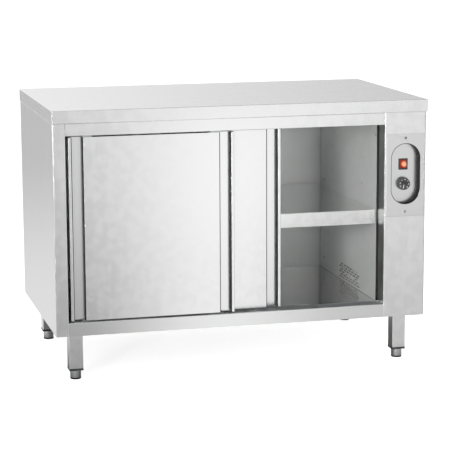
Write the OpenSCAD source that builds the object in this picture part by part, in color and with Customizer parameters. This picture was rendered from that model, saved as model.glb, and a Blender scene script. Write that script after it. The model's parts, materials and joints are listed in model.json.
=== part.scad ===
/* [Overall size] */
// Width of the worktop
worktop_w = 1200; // [1100:10:1500]
// Depth of the worktop
worktop_d = 700; // [660:10:800]
// Height of the worktop above the floor
total_h = 850; // [830:5:900]
// Height of the folded worktop edge
worktop_edge_h = 40; // [34:1:50]
// Body side panels set in from the worktop edge
side_inset = 2; // [1:0.5:8]
// Front frame set back from the worktop edge
front_inset = 10; // [4:1:20]
// Rear panel set in from the worktop edge
rear_inset = 3; // [1:1:10]

/* [Sheet metal] */
// Thickness of the worktop sheet
worktop_t = 1.5; // [1:0.1:2.5]
// Inward return under the worktop edge
worktop_return = 14; // [10:1:30]
// Thickness of the body, liner and door sheets
skin_t = 1; // [0.8:0.1:1.5]
// Width of the inward flanges on the panels
panel_flange = 15; // [10:1:25]
// Height of the stiffening channels under the worktop
stiffener_h = 25; // [15:1:30]
// Width of the stiffening channels
stiffener_w = 60; // [30:5:90]
// Distance of each stiffening channel from the centre line
stiffener_y = 170; // [100:10:220]

/* [Front frame] */
// Width of the left stile
stile_w = 39; // [30:1:60]
// Width of the control column
column_w = 137; // [132:1:180]
// Height of the top rail
top_rail_h = 39; // [37:1:45]
// Height of the bottom rail
bottom_rail_h = 42; // [36:1:60]
// Depth of the lip on the rails, towards the doors
rail_lip = 5; // [3:0.5:5]

/* [Doors] */
// Gap between a closed door and the frame beside it
door_side_gap = 4.5; // [3:0.5:8]
// Overlap of the two doors when both are closed
door_overlap = 29; // [20:1:60]
// Gap above the doors
door_top_gap = 5; // [4:0.5:6]
// Gap below the doors
door_bottom_gap = 4.5; // [3:0.5:6]
// Thickness of a door
door_t = 27; // [26:0.5:30]
// Gap between the two doors
door_spacing = 3; // [2:0.5:6]
// Front door set back from the front frame
door_setback = 7; // [7:0.5:10]
// Gap between the rear door and the chamber
chamber_gap = 2; // [1:0.5:5]
// How far the front door stands from its left stop
front_door_slid = 5; // [0:1:300]
// How far the rear door stands slid open from the left stop
rear_door_slid = 164; // [0:1:300]

/* [Door grips] */
// Width of the outer lip beside a grip groove
grip_lip_w = 9.5; // [6:0.5:20]
// Width of a grip groove
grip_w = 37; // [24:1:45]
// Depth of a grip groove
grip_depth = 19; // [14:0.5:24]
// Thickness of the liner on the groove walls
grip_liner_t = 1.5; // [1:0.1:3]
// Liner set back from the door face
grip_liner_setback = 0.4; // [0.2:0.1:1]

/* [Door running gear] */
// Distance of a trolley from the door edge
hanger_inset = 60; // [40:5:120]
// Width of a trolley plate
hanger_w = 30; // [26:1:50]
// Thickness of a trolley plate
hanger_t = 3; // [2:0.5:4]
// Distance of the trolley plate behind the door face
hanger_y = 9; // [8:0.5:10]
// Radius of a wheel tread
wheel_r = 10; // [8:0.5:10.5]
// Width of a wheel tread
wheel_w = 7; // [5:0.5:8]
// Extra radius of the wheel flange
wheel_flange_h = 2; // [1:0.5:2.5]
// Width of the wheel flange
wheel_flange_w = 2; // [1.5:0.5:3]
// Radius of the wheel stud
stud_r = 3; // [2:0.5:4]
// Running clearance around the wheel stud
bore_clear = 0.05; // [0.02:0.01:0.08]
// Gap between a wheel and its rail, and other seats that must slide
seat_clear = 0.3; // [0.2:0.05:0.5]
// Thickness of the track webs
track_t = 1.5; // [1:0.1:2]
// Thickness of the running rail
track_rail_t = 2; // [1.5:0.1:3]
// Height of the running rail above the lower edge of the top rail
track_rail_z = 5; // [4:0.5:6]
// Width of a guide shoe under the door
shoe_w = 12; // [8:0.5:14]
// Length of a guide shoe
shoe_len = 50; // [30:5:80]
// Depth of the guide channel floor below the opening
well_depth = 8; // [7:0.5:10]
// Thickness of the guide channel floor and ribs
guide_t = 2; // [1.5:0.1:3]
// Side clearance of a shoe between its ribs
shoe_clear = 0.5; // [0.3:0.1:1]

/* [Closing seals] */
// Thickness of the seals on the front lips of the chamber walls
seal_t = 1.5; // [1:0.1:1.7]

/* [Chamber] */
// Thickness of the slab beside the control compartment
right_slab_t = 20; // [10:1:25]
// Left liner wall set in from the opening
left_wall_inset = 2; // [2:0.5:6]
// Right liner wall set in from the opening
right_wall_inset = 4; // [2:0.5:8]
// Distance from the rear liner wall to the outside of the rear panel
rear_cavity = 11; // [6:1:40]
// Floor of the chamber below the opening
floor_drop = 2; // [1:0.5:4]
// Ceiling of the chamber above the opening
ceiling_rise = 1; // [1:0.5:3]
// Width of the front lip on the liner sheets
liner_lip = 12; // [6:1:13]
// Gap between the floor or ceiling sheet and the liner walls
liner_gap = 2; // [0:0.5:3]

/* [Shelf] */
// Gap between the shelf and each side wall
shelf_side_gap = 3; // [2:0.5:6]
// Gap between the shelf front and the liner front edge
shelf_front_gap = 4; // [2:1:20]
// Gap between the shelf and the rear wall
shelf_rear_gap = 6; // [2:1:20]
// Height of the shelf front lip
shelf_front_h = 47; // [30:1:60]
// Height of the shelf side and rear lips
shelf_lip_h = 16; // [12:1:25]
// Width of the hem under the front lip
shelf_hem = 12; // [6:1:20]
// Height of the lowest support hole above the floor
support_z = 470; // [380:2:480]
// Vertical pitch of the support holes
support_pitch = 84; // [50:1:100]
// Number of heights for the shelf
support_rows = 3; // [2:1:3]
// Distance of the front support holes behind the worktop front
support_front = 228; // [150:1:260]
// Distance between front and rear support holes
support_span = 320; // [240:5:360]
// Radius of a support hole
support_hole_r = 3; // [2.5:0.1:4]
// Radius of the support peg under the shelf
peg_r = 3.5; // [3:0.1:5]
// Length of the peg inside the chamber
peg_len = 14; // [10:1:20]
// Radius of the peg collar against the wall
peg_collar_r = 6; // [5:0.5:8]
// Thickness of the peg collar
peg_collar_t = 1.5; // [1:0.1:2]
// Length of the peg shank behind the wall
peg_shank_len = 8; // [4:0.5:12]

/* [Warm air vent] */
// Distance of the vent behind the worktop front
vent_front = 241; // [235:1:250]
// Height of the lowest slot row above the chamber floor
vent_rise = 7; // [5:1:12]
// Length of a vent slot
slot_len = 25; // [15:1:26]
// Height of a vent slot
slot_h = 4; // [3:0.5:5]
// Distance between slot centres along a row
slot_pitch = 32; // [28:1:34]
// Distance between slot rows
slot_row_pitch = 9; // [7:0.5:10]
// Number of slot rows
slot_rows = 6; // [3:1:6]
// Number of slots in a full row
slot_columns = 7; // [3:1:7]

/* [Control panel] */
// Width of the control plate
plate_w = 124; // [118:1:126]
// Height of the control plate above and below the recess
plate_border = 36; // [30:0.5:50]
// Centre of the control plate below the worktop top
plate_drop = 241.5; // [220:0.5:300]
// Control plate set in from the outer side of the body
plate_margin = 4; // [3:0.5:6]
// Depth of the pocket that holds the control plate
pocket_depth = 2; // [1.5:0.5:3]
// Clearance around the control plate
plate_clear = 0.3; // [0.2:0.1:0.6]
// Width of the recess
recess_w = 95; // [90:0.5:100]
// Height of the recess
recess_h = 193; // [180:1:200]
// Depth of the recess behind the control plate face
recess_depth = 26; // [24:1:34]
// Wall thickness of the recess ring
ring_t = 1.5; // [1:0.1:2.5]
// Recess, switch and knob set off the plate centre
recess_shift = 0.5; // [0:0.5:4]
// Height of the recess centre above the plate centre
recess_lift = 3.5; // [-2:0.5:4]
// Distance of the plate screws from the plate's upper and lower edges
plate_screw_inset = 14; // [10:0.5:16]

/* [Knob and thermostat] */
// Radius of the knob at its base
knob_r = 21; // [16:0.5:24]
// Height of the knob
knob_h = 15; // [14:1:24]
// Knob face radius lost to its taper
knob_taper = 1; // [0.5:0.1:3]
// Chamfer on the knob edge
knob_chamfer = 0.8; // [0.4:0.1:2]
// Gap between the knob and the switch plate
knob_gap = 1; // [0.5:0.1:2]
// Height of the knob axis below the recess centre
knob_drop = 34; // [28:0.5:45]
// Radius of the thermostat spindle
spindle_r = 3; // [2.5:0.1:4]
// Side of the thermostat body
thermostat_w = 34; // [26:1:40]
// Depth of the thermostat body
thermostat_d = 28; // [20:1:34]
// Radius of the thermostat mounting neck
thermostat_neck_r = 5; // [4.5:0.1:6]
// Radius of the sensing bulb
bulb_r = 3; // [2:0.5:4]
// Length of the sensing bulb
bulb_len = 90; // [60:5:120]
// Radius of the capillary tube
capillary_r = 0.8; // [0.5:0.1:1.5]

/* [Rocker switch] */
// Height of the switch centre above the recess centre
switch_rise = 28; // [20:0.5:40]
// Width of the switch bezel
bezel_w = 30; // [28:0.5:34]
// Height of the switch bezel
bezel_h = 36; // [35:0.5:40]
// Thickness of the switch bezel
bezel_t = 3; // [2:0.5:4]
// Width of the rocker
rocker_w = 20; // [16:0.5:20]
// Half height of the rocker at its face
rocker_half_h = 13; // [11:0.5:13]
// Height of the rocker ends above the pivot
rocker_end = 13; // [11:0.5:14]
// Height of the rocker middle above the pivot
rocker_mid = 10; // [8:0.5:12]
// Tilt of the rocker to either side
rocker_tilt = 10; // [6:1:12]
// Radius of the rocker pivot pins
pivot_r = 2; // [1.5:0.1:2.5]
// Depth of the switch body behind the switch plate
switch_body_d = 24; // [18:1:30]

/* [Heater] */
// Length of the heater box
heater_len = 250; // [240:5:270]
// Depth of the heater box behind the liner wall
heater_depth = 105; // [98:1:108]
// Height of the heater box
heater_h = 110; // [100:5:140]
// Heater box starts this far below the chamber floor
heater_drop = 4; // [0:1:10]
// Radius of the fan drum
drum_r = 28; // [20:1:30]
// Length of the fan drum
drum_len = 180; // [140:5:190]
// Number of fan blades
blade_count = 20; // [12:1:24]
// Radial width of a fan blade
blade_w = 8; // [5:0.5:10]
// Thickness of a fan blade
blade_t = 1.2; // [1:0.1:2]
// Radius of the fan shaft
shaft_r = 4; // [3:0.5:5]
// Radius of the fan motor
motor_r = 30; // [24:1:36]
// Length of the fan motor
motor_len = 50; // [40:5:70]
// Radius of the heating element tube
element_r = 4; // [3:0.5:5]
// Height between the two runs of the heating element
element_span = 36; // [28:1:44]

/* [Legs and feet] */
// Length of the leg tube
leg_h = 114; // [105:1:150]
// Side of the leg tube
leg_w = 44; // [35:1:50]
// Wall of the leg tube
leg_t = 1.5; // [1.2:0.1:3]
// Leg centre from the side of the worktop
leg_inset_x = 69.5; // [50:0.5:120]
// Leg centre from the front and rear of the worktop
leg_inset_y = 75; // [50:1:120]
// Thickness of the collar on the leg cap
cap_collar_h = 7; // [3:0.5:8]
// Height of the cap plug inside the tube
cap_plug_h = 24; // [16:1:30]
// Radius of a foot
foot_r = 17; // [12:0.5:18]
// Height of a foot, from the floor to the cap
foot_h = 29; // [24:1:40]
// Height of the black pad under a foot
foot_pad_h = 5; // [3:0.5:8]
// Radius of the foot screw
screw_r = 5; // [4:0.5:6]
// Length of the foot screw above the foot
screw_len = 74; // [70:1:80]

/* [Fasteners and cable inlet] */
// Distance of the rear screws in the side walls from the rear liner wall
wall_screw_gap = 51; // [20:1:70]
// Height of the low screw in a side wall above the chamber floor
low_screw_rise = 38; // [20:1:60]
// Height of the middle screw in a side wall above the chamber floor
mid_screw_rise = 317; // [200:1:340]
// Distance of the front screw in a side wall from the liner front edge
front_wall_screw_gap = 8; // [6:1:20]
// Distance of the front screw in a side wall below the chamber ceiling
top_screw_drop = 41; // [20:1:60]
// Distance of the outer rear panel screws from the side panels
rear_screw_side = 36; // [20:1:60]
// Distance of the rear panel screws from the panel's lower and upper edges
rear_screw_edge = 12; // [8:1:20]
// Radius of a panel screw head
screw_head_r = 4; // [3:0.5:5]
// Height of a panel screw head
screw_head_h = 1.8; // [1.2:0.1:2.5]
// Radius of a panel screw shank
shank_r = 2; // [1.5:0.1:2.5]
// Length of a panel screw shank
shank_len = 7; // [5:1:8]
// Radial clearance of pegs, screws and leads in their holes
hole_clear = 0.1; // [0.05:0.05:0.3]
// Radius of the cable hole in the gland
gland_bore_r = 4.5; // [3.5:0.1:6]
// Radius of the gland thread
gland_r = 10; // [9:0.5:12]
// Height of the gland nose below the base
gland_nose = 18; // [12:1:24]
// Radius of the inner leads
lead_r = 2; // [1:0.1:2.5]

/* [Hidden] */
$fn = 48;

steel = "#c9cccd";
bright_steel = "#d9dbdc";
dull_steel = "#9ea3a6";
black = "#1b1b1c";
grey_plastic = "#3a3c3e";
wool = "#d8c98f";
lit_red = "#ff5a2e";
bulb_copper = "#b87a4b";

// Levels of the legs
cap_z = foot_h;
leg_z = cap_z + cap_collar_h;
leg_top_plate = 2;

// Planes of the body
body_x = worktop_w / 2 - side_inset;
front_y = -worktop_d / 2 + front_inset;
rear_y = worktop_d / 2 - rear_inset;
body_top_z = total_h - worktop_edge_h;
base_z = leg_z + leg_h;
top_flange_z = body_top_z - skin_t;

// The door opening
open_x0 = -body_x + stile_w;
open_x1 = body_x - column_w;
open_z0 = base_z + bottom_rail_h;
open_z1 = body_top_z - top_rail_h;

// The doors
door_pitch = door_t + door_spacing;
door_w = (open_x1 - open_x0 - 2 * door_side_gap + door_overlap) / 2;
door_h = open_z1 - open_z0 - door_top_gap - door_bottom_gap;
door_z = open_z0 + door_bottom_gap;
front_door_y = front_y + door_setback;
rear_door_y = front_door_y + door_pitch;
door_left_x = open_x0 + door_side_gap;
door_right_x = open_x1 - door_side_gap;
front_door_x = door_left_x + front_door_slid;
rear_door_x = door_left_x + rear_door_slid;
groove_x0 = grip_lip_w;
groove_x1 = grip_lip_w + grip_w;
groove_back = grip_depth + skin_t;
hanger_x = [hanger_inset, door_w - hanger_inset];

// The chamber behind the doors
chamber_y0 = rear_door_y + door_t + chamber_gap;
chamber_y1 = rear_y - rear_cavity;
chamber_x0 = open_x0 + left_wall_inset;
chamber_x1 = open_x1 - right_wall_inset;
chamber_z0 = open_z0 - floor_drop;
chamber_z1 = open_z1 + ceiling_rise;

// The top track and the wheels in it
track_y0 = chamber_y0 - 2 * door_pitch - track_t;
rail_z = open_z1 + track_rail_z;
rail_top = rail_z + track_rail_t;
wheel_z = rail_top + seat_clear + wheel_r;
wheel_rise = wheel_z - door_z - door_h;
stud_shoulder = 1;
wheel_side_clear = 0.2;
stud_head_t = 2;
wheel_y0 = hanger_y + hanger_t + stud_shoulder + wheel_side_clear;
wheel_y1 = wheel_y0 + wheel_flange_w + wheel_w;
rail_front = wheel_y0 + wheel_flange_w + seat_clear;
stop_t = 3;
stop_h = 22;

// The guide channel and the shoes in it
guide_floor_z = open_z0 - well_depth;
guide_rib_top = open_z0 - 1;
shoe_y0 = (door_t - shoe_w) / 2;

// The shelf on its pegs
support_y = [-worktop_d / 2 + support_front, -worktop_d / 2 + support_front + support_span];
shelf_z = support_z + peg_r + seat_clear + shelf_lip_h;
shelf_x0 = chamber_x0 + shelf_side_gap;
shelf_x1 = chamber_x1 - shelf_side_gap;
shelf_y0 = chamber_y0 + shelf_front_gap;
shelf_y1 = chamber_y1 - shelf_rear_gap;

// The control panel
plate_h = recess_h + 2 * plate_border;
plate_screw_z = plate_h / 2 - plate_screw_inset;
plate_x = body_x - plate_margin - plate_w / 2;
plate_z = total_h - plate_drop;
plate_y = front_y + pocket_depth;
recess_x = plate_x + recess_shift;
recess_z = plate_z + recess_lift;
recess_floor_y = plate_y + recess_depth;
window_w = recess_w + 2 * ring_t + 3;
window_h = recess_h + 2 * ring_t + 8;
switch_plate_w = recess_w + 10;
switch_plate_h = recess_h + 20;
knob_z = recess_z - knob_drop;
knob_base_y = recess_floor_y - knob_gap;
spindle_flat = 0.8;
spindle_in_knob = 10;
spindle_in_body = 12;

// The rocker switch, about its pivot
switch_z = recess_z + switch_rise;
pivot_depth = 4;
pivot_y = recess_floor_y + pivot_depth;
switch_body_h = bezel_h - 4;
switch_body_w = rocker_w + 5;
switch_cavity_h = 2 * rocker_half_h + 2.8;
switch_cavity_depth = 11;
rocker_side_clear = 0.4;
rocker_root = 6;

// The heater behind the vent
heater_y0 = -worktop_d / 2 + vent_front - 16;
heater_y1 = heater_y0 + heater_len;
heater_z0 = chamber_z0 - heater_drop;
heater_z1 = heater_z0 + heater_h;
heater_x0 = chamber_x1 + skin_t;
heater_x1 = heater_x0 + heater_depth;
vent_y0 = -worktop_d / 2 + vent_front;
drum_x = heater_x1 - drum_r - 12;
drum_z = heater_z0 + drum_r + 12;
drum_y0 = heater_y0 + (heater_len - drum_len) / 2;
drum_y1 = drum_y0 + drum_len;
bearing_t = 6;
disc_t = 2;
element_x = heater_x0 + 18;
element_z = drum_z;
element_bend_y = heater_y1 - 36;
element_terminal = 14;
bulb_drop = 14;
bulb_inset = 80;
bulb_z = heater_z1 - bulb_drop;
bulb_y0 = heater_y0 + bulb_inset;

// The legs
leg_x = worktop_w / 2 - leg_inset_x;
leg_y = worktop_d / 2 - leg_inset_y;

// The cable inlet and the terminal block on the base
gland_out = 76;
gland_behind = 70;
gland_x = heater_x0 + gland_out;
gland_y = heater_y1 + gland_behind;
gland_top = base_z + 15;
terminal_pitch = 9;
terminal_margin = 8;
terminal_ways = 5;
terminal_w = 2 * terminal_margin + (terminal_ways - 1) * terminal_pitch;
terminal_d = 20;
terminal_h = 18;
terminal_hole_r = 2.4;
terminal_x = gland_x - terminal_w / 2;
terminal_y = gland_y + 40;
terminal_top = base_z + skin_t + terminal_h;
bend_bulge = 0.1;

// Leads and the capillary run straight this far out of what they serve
lead_out = 20;
capillary_sweep = 30;

// A box between two opposite corners
module block(a, b) {
    translate(a) cube(b - a);
}

// A rod from one point to the next along a list of points, round at every bend
module rod(points, r) {
    for (i = [0:len(points) - 2]) {
        step = points[i + 1] - points[i];
        length = norm(step);
        translate(points[i])
            rotate([0, acos(step[2] / length), atan2(step[1], step[0])])
                cylinder(r = r, h = length);
    }
    for (i = [1:1:len(points) - 2])
        translate(points[i]) sphere(r = r + bend_bulge);
}

// A cylinder along the depth of the cabinet, from y0 to y1
module rod_y(x, z, y0, y1, r) {
    translate([x, y1, z]) rotate([90, 0, 0]) cylinder(r = r, h = y1 - y0);
}

// A slot outline with round ends, standing upright
module stadium(w, h) {
    square([w, h - w], center = true);
    for (s = [-1, 1])
        translate([0, s * (h - w) / 2]) circle(d = w);
}

// A solid with the slot outline, from depth y0 to y1
module stadium_block(w, h, y0, y1) {
    translate([recess_x, y1, recess_z]) rotate([90, 0, 0])
        linear_extrude(y1 - y0) stadium(w, h);
}

module worktop() {
    x = worktop_w / 2;
    y = worktop_d / 2;
    lip = worktop_t + worktop_return;
    color(bright_steel) difference() {
        block([-x, -y, body_top_z], [x, y, total_h]);
        block([worktop_t - x, worktop_t - y, body_top_z + worktop_t],
            [x - worktop_t, y - worktop_t, total_h - worktop_t]);
        block([lip - x, lip - y, body_top_z - 1], [x - lip, y - lip, body_top_z + worktop_t + 1]);
    }
}

module worktop_stiffeners() {
    x = worktop_w / 2 - worktop_t - worktop_return - 20;
    z1 = total_h - worktop_t;
    color(dull_steel) for (s = [-1, 1]) translate([0, s * stiffener_y, 0]) difference() {
        block([-x, -stiffener_w / 2, z1 - stiffener_h], [x, stiffener_w / 2, z1]);
        block([-x - 1, worktop_t - stiffener_w / 2, z1 - stiffener_h - 1],
            [x + 1, stiffener_w / 2 - worktop_t, z1 - worktop_t]);
    }
}

// The right side panel, its plate outside and its top flange turned inwards
module side_panel() {
    color(steel) {
        block([body_x - skin_t, front_y, base_z], [body_x, rear_y, body_top_z]);
        block([body_x - skin_t - panel_flange, front_y + skin_t, top_flange_z],
            [body_x - skin_t, rear_y - skin_t, body_top_z]);
    }
}

module left_side_panel() {
    mirror([1, 0, 0]) side_panel();
}

module right_side_panel() {
    side_panel();
}

module rear_panel() {
    x = body_x - skin_t;
    color(steel) difference() {
        block([-x, rear_y - skin_t, base_z], [x, rear_y, body_top_z]);
        for (p = rear_screw_places)
            rod_y(p[0], p[1], rear_y - 2 * skin_t, rear_y + 1, shank_r + hole_clear);
    }
}

module base_panel() {
    x = body_x - skin_t;
    color(steel) difference() {
        block([-x, front_y + skin_t, base_z], [x, rear_y - skin_t, base_z + skin_t]);
        translate([gland_x, gland_y, base_z - 1])
            cylinder(r = gland_r + hole_clear, h = skin_t + 2);
    }
}

module top_rail() {
    color(steel) {
        block([open_x0, front_y, open_z1], [open_x1, front_y + skin_t, body_top_z]);
        block([open_x0, front_y + skin_t, open_z1], [open_x1, front_y + rail_lip, open_z1 + skin_t]);
        block([open_x0, front_y + skin_t, top_flange_z],
            [open_x1, front_y + skin_t + panel_flange, body_top_z]);
    }
}

module bottom_rail() {
    lip_y = front_y + rail_lip + skin_t;
    color(steel) {
        block([open_x0, front_y, base_z], [open_x1, front_y + skin_t, open_z0]);
        block([open_x0, front_y + skin_t, open_z0 - skin_t], [open_x1, lip_y, open_z0]);
        block([open_x0, lip_y - skin_t, guide_floor_z - 8], [open_x1, lip_y, open_z0 - skin_t]);
    }
}

// A stile face with a flange beside the opening and one beside the side panel
module stile(outer_x, inner_x) {
    side = inner_x > outer_x ? 1 : -1;
    face_x0 = min(outer_x, inner_x);
    face_x1 = max(outer_x, inner_x);
    inner_x0 = min(inner_x, inner_x - side * skin_t);
    outer_x0 = min(outer_x, outer_x + side * skin_t);
    block([face_x0, front_y, base_z], [face_x1, front_y + skin_t, body_top_z]);
    block([inner_x0, front_y + skin_t, base_z + skin_t],
        [inner_x0 + skin_t, chamber_y0, top_flange_z]);
    block([outer_x0, front_y + skin_t, base_z + skin_t],
        [outer_x0 + skin_t, front_y + panel_flange, top_flange_z]);
}

module left_stile() {
    color(steel) stile(-body_x + skin_t, open_x0);
}

module control_column() {
    w = plate_w / 2 + plate_clear;
    h = plate_h / 2 + plate_clear;
    pocket_y = plate_y + skin_t;
    color(steel) translate([plate_x, 0, plate_z]) difference() {
        union() {
            translate([-plate_x, 0, -plate_z]) stile(body_x - skin_t, open_x1);
            block([-w - skin_t, front_y, -h - skin_t], [w + skin_t, pocket_y + skin_t, h + skin_t]);
        }
        block([-w, front_y - 1, -h], [w, pocket_y, h]);
        translate([recess_x - plate_x, 0, recess_z - plate_z])
            block([-window_w / 2, pocket_y - 1, -window_h / 2],
                [window_w / 2, pocket_y + skin_t + 1, window_h / 2]);
        for (s = [-1, 1])
            rod_y(0, s * plate_screw_z, pocket_y - 1, pocket_y + skin_t + 1, shank_r + hole_clear);
    }
}

// Heights and depths of the shelf support holes and of the screws in a side wall
support_places = [for (y = support_y, i = [0:support_rows - 1]) [y, support_z + i * support_pitch]];
wall_screw_places = [
    [chamber_y1 - wall_screw_gap, chamber_z0 + low_screw_rise],
    [chamber_y1 - wall_screw_gap, chamber_z0 + mid_screw_rise],
    [chamber_y0 + front_wall_screw_gap, chamber_z1 - top_screw_drop]];

// Places of the screws along the lower and upper edges of the rear panel
rear_screw_x = body_x - rear_screw_side;
rear_screw_places = [for (i = [0:3], z = [base_z + rear_screw_edge, body_top_z - rear_screw_edge])
    [rear_screw_x * (2 * i / 3 - 1), z]];

// The right liner wall without its vent, facing the chamber
module side_wall(wall_x, side) {
    x0 = side > 0 ? wall_x : wall_x - skin_t;
    lip_x0 = side > 0 ? wall_x : wall_x - liner_lip;
    difference() {
        union() {
            block([x0, chamber_y0, chamber_z0 - skin_t],
                [x0 + skin_t, chamber_y1, chamber_z1 + skin_t]);
            block([lip_x0, chamber_y0, chamber_z0 - skin_t],
                [lip_x0 + liner_lip, chamber_y0 + skin_t, chamber_z1 + skin_t]);
        }
        for (p = support_places)
            translate([x0 - 1, p[0], p[1]]) rotate([0, 90, 0])
                cylinder(r = support_hole_r, h = skin_t + 2);
        for (p = wall_screw_places)
            translate([x0 - 1, p[0], p[1]]) rotate([0, 90, 0])
                cylinder(r = shank_r + hole_clear, h = skin_t + 2);
    }
}

module inner_left_wall() {
    color(dull_steel) side_wall(chamber_x0, -1);
}

module inner_right_wall() {
    color(dull_steel) difference() {
        side_wall(chamber_x1, 1);
        for (row = [0:slot_rows - 1], i = [0:slot_columns - 1 - row % 2])
            translate([chamber_x1 - 1, vent_y0 + i * slot_pitch + (row % 2) * slot_pitch / 2,
                chamber_z0 + vent_rise + row * slot_row_pitch])
                cube([skin_t + 2, slot_len, slot_h]);
    }
}

module inner_rear_wall() {
    color(dull_steel) block([chamber_x0 - skin_t, chamber_y1, chamber_z0 - skin_t],
        [chamber_x1 + skin_t, chamber_y1 + skin_t, chamber_z1 + skin_t]);
}

// A floor or ceiling sheet with a front lip from lip_z0 to lip_z1
module liner_sheet(z0, lip_z0, lip_z1) {
    x0 = chamber_x0 + liner_gap;
    x1 = chamber_x1 - liner_gap;
    block([x0, chamber_y0, z0], [x1, chamber_y1 - liner_gap, z0 + skin_t]);
    block([x0, chamber_y0, lip_z0], [x1, chamber_y0 + skin_t, lip_z1]);
}

module inner_floor() {
    color(dull_steel)
        liner_sheet(chamber_z0 - skin_t, chamber_z0 - skin_t - liner_lip, chamber_z0 - skin_t);
}

module inner_ceiling() {
    color(dull_steel) liner_sheet(chamber_z1, chamber_z1 + skin_t, top_flange_z);
}

module insulation() {
    x0 = -body_x + skin_t;
    x1 = chamber_x0 - skin_t;
    x2 = chamber_x1 + skin_t;
    y0 = chamber_y0 + skin_t;
    y1 = chamber_y1 + skin_t;
    y2 = rear_y - skin_t;
    z0 = base_z + skin_t;
    slabs = [
        [[x0, y0, z0], [x1, y2, top_flange_z]],
        [[x1, y1, z0], [x2, y2, top_flange_z]],
        [[x1, y0, z0], [x2, y1, chamber_z0 - skin_t]],
        [[x1, y0, chamber_z1 + skin_t], [x2, y1, top_flange_z]],
        [[x2, y0, heater_z1 + 10], [x2 + right_slab_t, y1, chamber_z1]]];
    color(wool) for (s = slabs) difference() {
        block(s[0], s[1]);
        for (p = support_places) if (p[1] == support_z)
            translate([chamber_x0 - peg_shank_len - 1, p[0], p[1]]) rotate([0, 90, 0])
                cylinder(r = support_hole_r, h = chamber_x1 - chamber_x0 + 2 * peg_shank_len + 2);
        for (p = wall_screw_places)
            translate([chamber_x0 - shank_len - 1, p[0], p[1]]) rotate([0, 90, 0])
                cylinder(r = shank_r + hole_clear, h = chamber_x1 - chamber_x0 + 2 * shank_len + 2);
        for (p = rear_screw_places)
            rod_y(p[0], p[1], rear_y - shank_len - 1, rear_y, shank_r + hole_clear);
    }
}

module top_track() {
    color(dull_steel) {
        block([open_x0, track_y0, top_flange_z - track_t], [open_x1, chamber_y0, top_flange_z]);
        for (i = [0:2])
            block([open_x0, track_y0 + i * door_pitch, rail_z],
                [open_x1, track_y0 + i * door_pitch + track_t, top_flange_z - track_t]);
        for (y = [front_door_y, rear_door_y]) {
            lane_y1 = y - front_door_y + track_y0 + door_pitch;
            lane_y0 = lane_y1 - door_pitch + track_t;
            block([open_x0, y + rail_front, rail_z], [open_x1, lane_y1, rail_top]);
            for (x = [door_left_x + hanger_inset - hanger_w / 2 - seat_clear - stop_t,
                door_right_x - hanger_inset + hanger_w / 2 + seat_clear])
                block([x, lane_y0, top_flange_z - track_t - stop_h],
                    [x + stop_t, y + hanger_y + hanger_t, top_flange_z - track_t]);
        }
    }
}

module bottom_guide_channel() {
    y0 = front_y + rail_lip + skin_t;
    color(dull_steel) {
        block([open_x0, y0, guide_floor_z], [open_x1, chamber_y0, guide_floor_z + guide_t]);
        for (y = [front_door_y, rear_door_y],
            rib = [shoe_y0 - shoe_clear - guide_t, shoe_y0 + shoe_w + shoe_clear])
            block([open_x0, y + rib, guide_floor_z + guide_t],
                [open_x1, y + rib + guide_t, guide_rib_top]);
    }
}

module closing_seals() {
    y0 = chamber_y0 - seal_t;
    color(black) {
        block([open_x0, y0, open_z0], [chamber_x0, chamber_y0, open_z1]);
        block([chamber_x1, y0, open_z0], [open_x1, chamber_y0, open_z1]);
    }
}

// The four corners where a leg stands
module at_legs() {
    for (x = [-leg_x, leg_x], y = [-leg_y, leg_y]) translate([x, y, 0]) children();
}

module legs() {
    w = leg_w / 2;
    v = w - leg_t;
    color(steel) at_legs() difference() {
        block([-w, -w, leg_z], [w, w, base_z]);
        block([-v, -v, leg_z - 1], [v, v, base_z - leg_top_plate]);
    }
}

module leg_caps() {
    w = leg_w / 2;
    v = w - leg_t;
    color(black) at_legs() difference() {
        union() {
            block([-w, -w, cap_z], [w, w, leg_z]);
            block([-v, -v, leg_z], [v, v, leg_z + cap_plug_h]);
        }
        translate([0, 0, cap_z - 1])
            cylinder(r = screw_r + bore_clear, h = cap_collar_h + cap_plug_h + 2);
    }
}

// A levelling foot on its screw, with the pad it stands on
module foot(x, y) {
    translate([x, y, 0]) {
        color(bright_steel) {
            translate([0, 0, foot_pad_h]) cylinder(r = foot_r, h = foot_h - foot_pad_h);
            translate([0, 0, foot_h]) cylinder(r = screw_r, h = screw_len);
        }
        color(black) cylinder(r = foot_r, h = foot_pad_h);
    }
}

module foot_front_left() {
    foot(-leg_x, -leg_y);
}

module foot_front_right() {
    foot(leg_x, -leg_y);
}

module foot_rear_left() {
    foot(-leg_x, leg_y);
}

module foot_rear_right() {
    foot(leg_x, leg_y);
}

// A peg in a side wall, its carrying end pointing into the chamber along side
module peg(wall_x, side, y) {
    translate([wall_x, y, support_z]) rotate([0, side * 90, 0]) {
        cylinder(r = peg_r, h = peg_len);
        cylinder(r = peg_collar_r, h = peg_collar_t);
        translate([0, 0, -peg_shank_len])
            cylinder(r = support_hole_r - hole_clear, h = peg_shank_len);
    }
}

module shelf_pegs() {
    color(dull_steel) for (y = support_y) {
        peg(chamber_x0, 1, y);
        peg(chamber_x1, -1, y);
    }
}

module shelf() {
    color(bright_steel) {
        difference() {
            block([shelf_x0, shelf_y0, shelf_z - shelf_lip_h], [shelf_x1, shelf_y1, shelf_z]);
            block([shelf_x0 + skin_t, shelf_y0 + skin_t, shelf_z - shelf_lip_h - 1],
                [shelf_x1 - skin_t, shelf_y1 - skin_t, shelf_z - skin_t]);
        }
        block([shelf_x0, shelf_y0, shelf_z - shelf_front_h],
            [shelf_x1, shelf_y0 + skin_t, shelf_z - shelf_lip_h]);
        block([shelf_x0, shelf_y0, shelf_z - shelf_front_h],
            [shelf_x1, shelf_y0 + shelf_hem, shelf_z - shelf_front_h + skin_t]);
    }
}

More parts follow.
